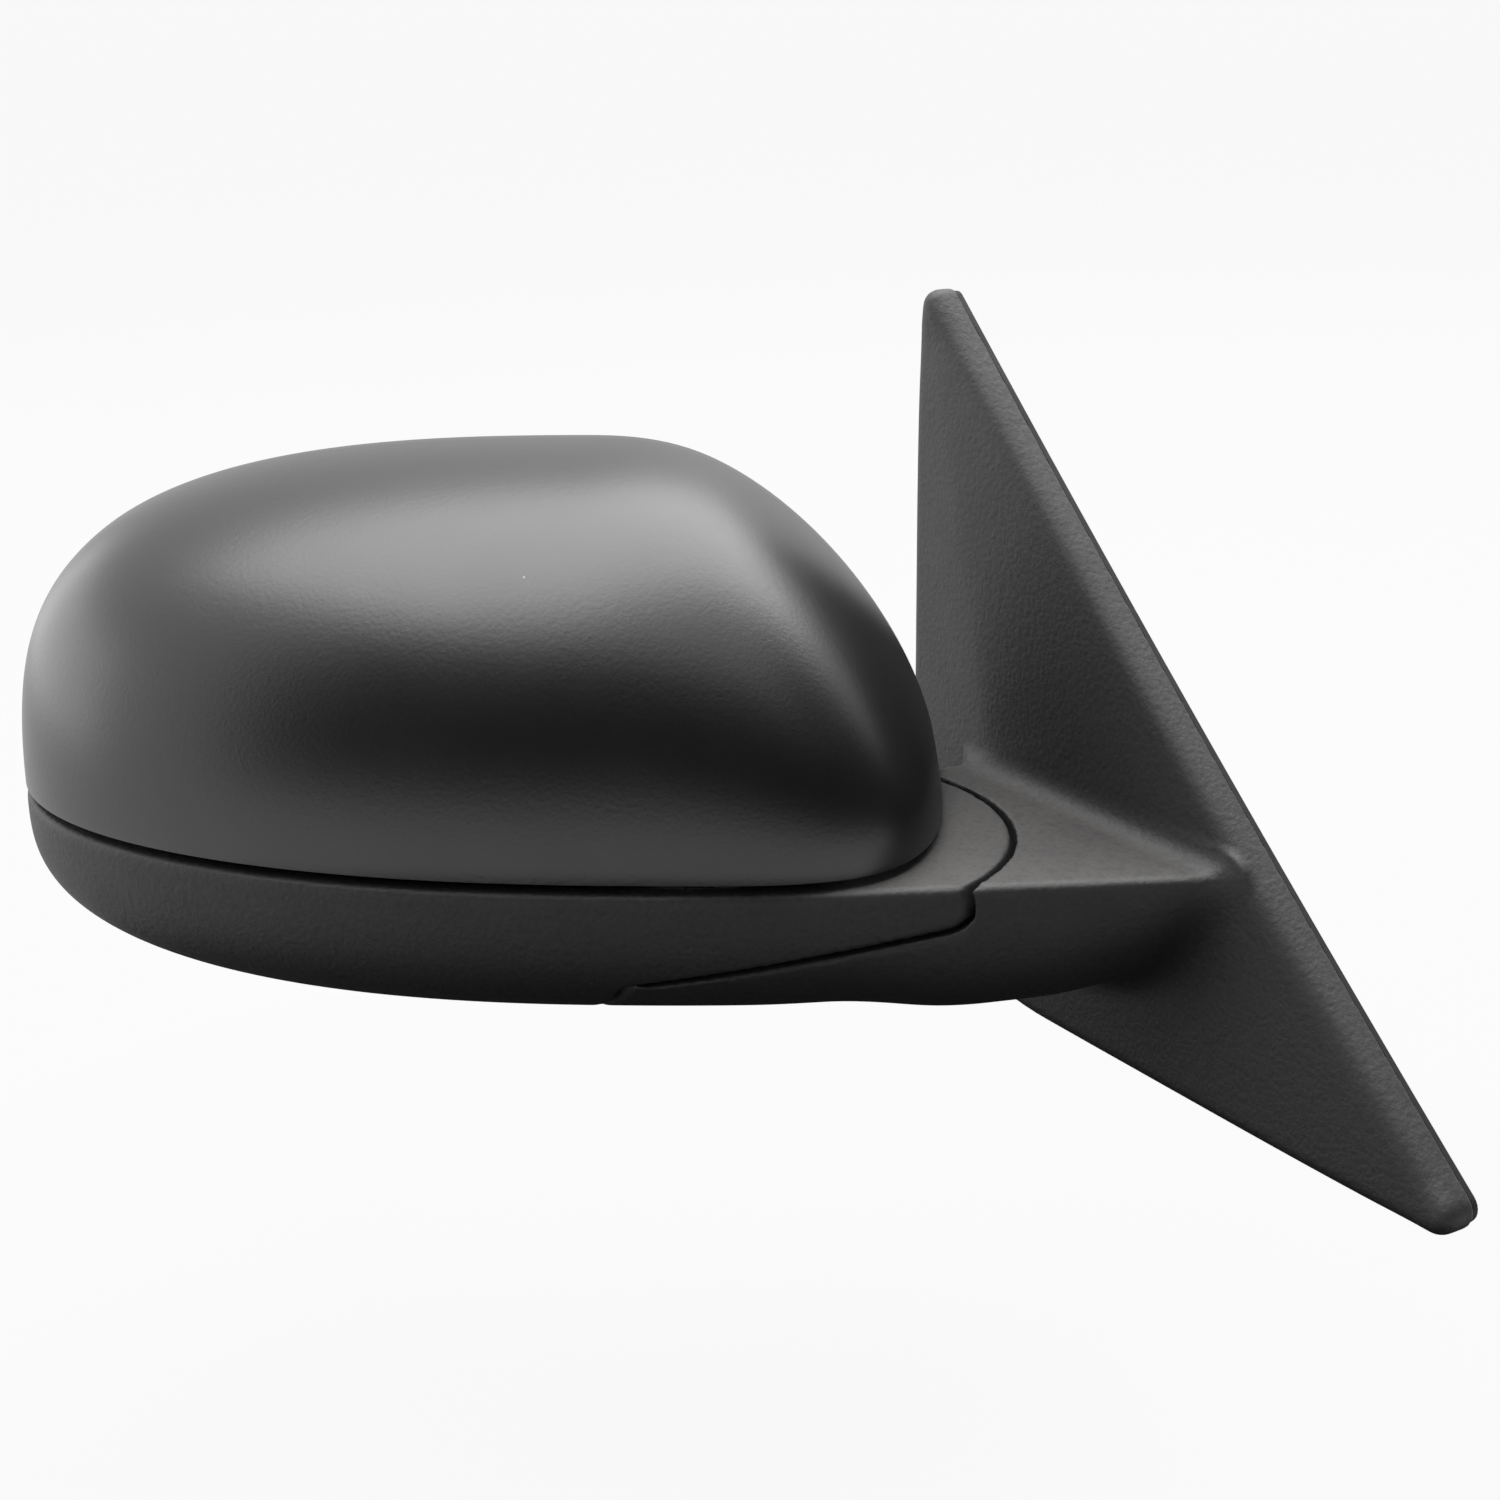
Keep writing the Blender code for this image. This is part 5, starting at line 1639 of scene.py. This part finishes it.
        for radius, x in (
            (0.3 * head_r, head_low), (0.9 * head_r, head_low), (head_r, head_low + 0.4),
            (head_r, head_high), (shank_r, head_high), (shank_r, start),
        ):
            ring(x, lambda a: radius)
        step = self.stud_pitch / self.thread_steps
        for x in np.arange(start + step, end, step):
            fade = smooth_step((x - start) / self.thread_fade[0])
            deep = self.thread_deep * fade * smooth_step((end - x) / self.thread_fade[1])

            def thread(a: float) -> float:
                """Radius of the thread at an angle."""
                phase = (x / self.stud_pitch - a / TURN) % 1.0
                return shank_r - deep * abs(2.0 * phase - 1.0)

            ring(x, thread)
        for radius, x in ((shank_r - 0.3, tip - 1.1), (shank_r - 1.0, tip), (0.3, tip)):
            ring(x, lambda a: radius)
        return Workbench.shade(Workbench.tube(np.array(rings)), 50.0)

    def mounting_studs(self) -> None:
        """Three studs for the door."""
        for number, (y, z) in enumerate(self.studs, 1):
            name, node = f"threaded_stud_{number}", f"mounting_stud_{number}"
            self.finishes.deliver(self.stud(y, z), name, Body.BASE, Slot.PLATED, node)

    def cable_grommet(self) -> None:
        """Ribbed rubber ring in the bracket's cable hole."""
        y, z = self.grommet_at
        turns = full_turn(self.grommet_sides)
        loops = [
            [(x, y + r * math.cos(a), z + r * math.sin(a)) for a in turns]
            for r, x in self.grommet_profile
        ]
        grommet = Workbench.shade(Workbench.band(np.array(loops)), 45.0)
        self.finishes.deliver(grommet, "cable_grommet", Body.BASE, Slot.RUBBER, "harness_grommet")

    def arm_screws(self) -> None:
        """Two screws under the arm that hold the cover to the bracket."""
        for number, u in enumerate(self.screws_u, 1):
            screw = ScrewHead().under(self.shape, u, 0.0, self.screw_tip)
            name, node = f"arm_screw_{number}", f"cover_screw_{number}"
            self.finishes.deliver(screw, name, Body.BASE, Slot.PLATED, node)

    def build(self) -> None:
        """Make every piece of the base."""
        self.base_moulding()
        self.door_seal()
        self.mounting_studs()
        self.cable_grommet()
        self.arm_screws()


@dataclass
class InnerParts:
    """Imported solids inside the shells, kept in shape and given their finishes."""

    finishes: Finishes
    slots: dict[Slot, tuple[str, ...]] = field(default_factory=lambda: {
        Slot.CASTING: ("mount_bracket", "motor_pan", "motor_tilt"),
        Slot.PLATED: (
            "pivot_post", "detent_ring", "spring_retainer", "post_clip",
            "actuator_screw_1", "actuator_screw_2", "actuator_screw_3",
        ),
        Slot.SPRING: ("fold_spring",),
        Slot.INNER: (
            "carrier_frame", "actuator_case_front", "actuator_case_rear", "adjuster_plate",
            "actuator_socket",
        ),
        Slot.NYLON: (
            "pivot_bush", "drive_gear_pan", "drive_gear_tilt", "jack_screw_pan",
            "jack_screw_tilt", "gimbal_ring",
        ),
        Slot.BRASS: ("worm_pan", "worm_tilt", "heater_tab_1", "heater_tab_2"),
        Slot.FILM: ("heater_pad",),
    })

    def build(self) -> None:
        """Give each kept solid its material."""
        for slot, names in self.slots.items():
            for name in names:
                self.finishes.dress(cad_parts[name], slot)
                LOG.info("%s keeps its shape, finished as %s", name, slot.value)


@dataclass
class Studio:
    """Camera, floor and plain soft light."""

    eye: Triple = (-0.38193982, -0.42590968, 0.21011278)
    azimuth_deg: float = 32.0
    elevation_deg: float = 19.0
    frame_px: float = 1500.0
    focal_px: float = 2339.9
    sensor_mm: float = 36.0
    floor_z: float = -0.16
    floor_size: float = 40.0
    floor_colour: float = 0.45
    floor_glow: float = 0.93
    box_size: Pair = (2.6, 1.1)
    box_at: Triple = (0.36, 0.4, 1.2)
    box_turn_deg: float = 8.0
    box_watts: float = 34.0
    fill_size: Pair = (1.6, 1.1)
    fill_turn_deg: float = -36.0
    fill_away: float = 1.6
    fill_watts: float = 7.5
    ambient: float = 0.15
    card_turns: Triple = (-122.0, -178.0, -234.0)
    card_size: Pair = (1.4, 1.85)
    card_away: float = 1.3
    card_z: float = -0.06
    card_colour: Colour = (0.02, 0.02, 0.02)
    pad_at: Pair = (-0.1, 0.03)
    pad_r: float = 0.3
    pad_lift: float = 0.004

    def axes(self) -> tuple[Vector, Vector, Vector]:
        """The camera's right, up and back directions."""
        a, e = math.radians(self.azimuth_deg), math.radians(self.elevation_deg)
        right = Vector((math.cos(a), -math.sin(a), 0.0))
        back = Vector((-math.sin(a) * math.cos(e), -math.cos(a) * math.cos(e), math.sin(e)))
        return right, back.cross(right), back

    def camera(self) -> None:
        """Camera at the photograph's viewing angle."""
        right, up, back = self.axes()
        data = bpy.data.cameras.new("photo_camera")
        data.sensor_fit = "AUTO"
        data.sensor_width = self.sensor_mm
        data.lens = self.focal_px / self.frame_px * self.sensor_mm
        data.clip_start = 0.01
        obj = bpy.data.objects.new("photo_camera", data)
        obj.matrix_world = Matrix.Translation(self.eye) @ axes_frame(right, up, back)
        bpy.context.scene.collection.objects.link(obj)
        bpy.context.scene.camera = obj

    @staticmethod
    def seen(sheet: NodeSheet) -> Socket:
        """1 for rays that show the background: straight, mirrored or through glass."""
        path = sheet.add("ShaderNodeLightPath").outputs
        shown = sheet.math("MAXIMUM", path["Is Camera Ray"], path["Is Glossy Ray"])
        return sheet.math("MAXIMUM", shown, path["Is Transmission Ray"])

    def world(self) -> None:
        """White surround, which lights the object less than it shows."""
        world = bpy.data.worlds.new("white_surround")
        world.use_nodes = True
        bpy.context.scene.world = world
        sheet = NodeSheet(world.node_tree)
        node = world.node_tree.nodes["Background"]
        node.inputs["Color"].default_value = (1.0, 1.0, 1.0, 1.0)
        strength = sheet.ranged(self.seen(sheet), (0.0, 1.0), (self.ambient, 1.0))
        sheet.feed(node.inputs["Strength"], strength)

    def floor(self) -> None:
        """Pale floor that keeps a soft shadow."""
        obj = Workbench.fresh(
            bpy.ops.mesh.primitive_plane_add,
            size=self.floor_size, location=(0.0, 0.0, self.floor_z),
        )
        obj.name = "studio_floor"
        material = bpy.data.materials.new("pale_floor")
        material.use_nodes = True
        sheet = NodeSheet(material.node_tree)
        shader = material.node_tree.nodes["Principled BSDF"]
        shader.inputs["Base Color"].default_value = (*[self.floor_colour] * 3, 1.0)
        shader.inputs["Roughness"].default_value = 0.9
        glow = sheet.add("ShaderNodeEmission", Strength=1.0)
        share = sheet.math("MULTIPLY", self.seen(sheet), self.floor_glow)
        mixed = sheet.add("ShaderNodeMixShader")
        sheet.feed(mixed.inputs[0], share)
        sheet.feed(mixed.inputs[1], shader.outputs["BSDF"])
        sheet.feed(mixed.inputs[2], glow.outputs["Emission"])
        target = material.node_tree.nodes["Material Output"]
        sheet.feed(target.inputs["Surface"], mixed.outputs["Shader"])
        obj.data.materials.append(material)

    @staticmethod
    def lamp(name: str, size: Pair, watts: float, matrix: Matrix) -> None:
        """Soft rectangular lamp that shines along its own -Z.

        Args:
            name: Name of the lamp.
            size: Width and height in metres.
            watts: Power.
            matrix: Its place and turn.
        """
        data = bpy.data.lights.new(name, "AREA")
        data.shape = "RECTANGLE"
        data.size, data.size_y = size
        data.energy = watts
        obj = bpy.data.objects.new(name, data)
        obj.matrix_world = matrix
        obj.visible_camera = False
        bpy.context.scene.collection.objects.link(obj)

    @staticmethod
    def upright(turn_deg: float, away: float, lift: float = 0.0) -> Matrix:
        """Frame of an upright panel round the object.

        Args:
            turn_deg: Turn about the vertical, from +Y towards +X.
            away: Distance from the vertical through the origin, in metres.
            lift: Height of the panel's middle.

        Returns:
            The frame, whose -Z looks back at the object.
        """
        turn = math.radians(turn_deg)
        out = Vector((math.sin(turn), math.cos(turn), 0.0))
        return Matrix.Translation(out * away + UP * lift) @ axes_frame(UP.cross(out), UP, out)

    def lamps(self) -> None:
        """Large softbox overhead, and a fill beside the outboard end."""
        turn = Matrix.Rotation(math.radians(self.box_turn_deg), 4, "Z")
        place = Matrix.Translation(self.box_at) @ turn
        self.lamp("overhead_softbox", self.box_size, self.box_watts, place)
        place = self.upright(self.fill_turn_deg, self.fill_away)
        self.lamp("outboard_fill", self.fill_size, self.fill_watts, place)

    def darken(self, obj: Piece, name: str) -> None:
        """Cover a card in dark cloth, and let only the object's own shading see it.

        Args:
            obj: The card.
            name: Its name.
        """
        obj.name = name
        material = bpy.data.materials.new(name + "_cloth")
        material.use_nodes = True
        shader = material.node_tree.nodes["Principled BSDF"]
        shader.inputs["Base Color"].default_value = (*self.card_colour, 1.0)
        shader.inputs["Roughness"].default_value = 1.0
        shader.inputs["Specular IOR Level"].default_value = 0.0
        obj.data.materials.append(material)
        obj.visible_camera = False
        obj.visible_shadow = False
        obj.visible_transmission = False

    def dark_cards(self) -> None:
        """Upright cards round the camera, as the dim side of a studio."""
        wide, high = self.card_size
        for number, turn in enumerate(self.card_turns, 1):
            obj = Workbench.fresh(bpy.ops.mesh.primitive_plane_add, size=1.0)
            place = self.upright(turn, self.card_away, self.card_z + high / 2.0)
            obj.data.transform(place @ Matrix.Diagonal((wide, high, 1.0, 1.0)))
            self.darken(obj, f"dark_card_{number}")
            obj.visible_diffuse = False

    def dark_pad(self) -> None:
        """Round dark pad on the floor under the object."""
        pad = Workbench.fresh(
            bpy.ops.mesh.primitive_circle_add,
            vertices=64, radius=self.pad_r, fill_type="NGON",
            location=(*self.pad_at, self.floor_z + self.pad_lift),
        )
        self.darken(pad, "dark_pad")

    def build(self) -> None:
        """Set up the view and the light."""
        self.camera()
        self.world()
        self.floor()
        self.lamps()
        self.dark_cards()
        self.dark_pad()
        bpy.context.scene.view_settings.view_transform = "Standard"


def main() -> None:
    """Build the studio and every part of the mirror."""
    logging.basicConfig(level=logging.INFO, format="%(name)s: %(message)s")
    Studio().build()
    shape = HeadShape()
    swivel = Swivel(shape)
    finishes = Finishes(SharedEffects())
    MirrorHead(shape, swivel, finishes).build()
    GlassUnit(shape, finishes).build()
    BaseArm(shape, SailShape(), swivel, finishes).build()
    InnerParts(finishes).build()


if __name__ == "__main__":
    main()
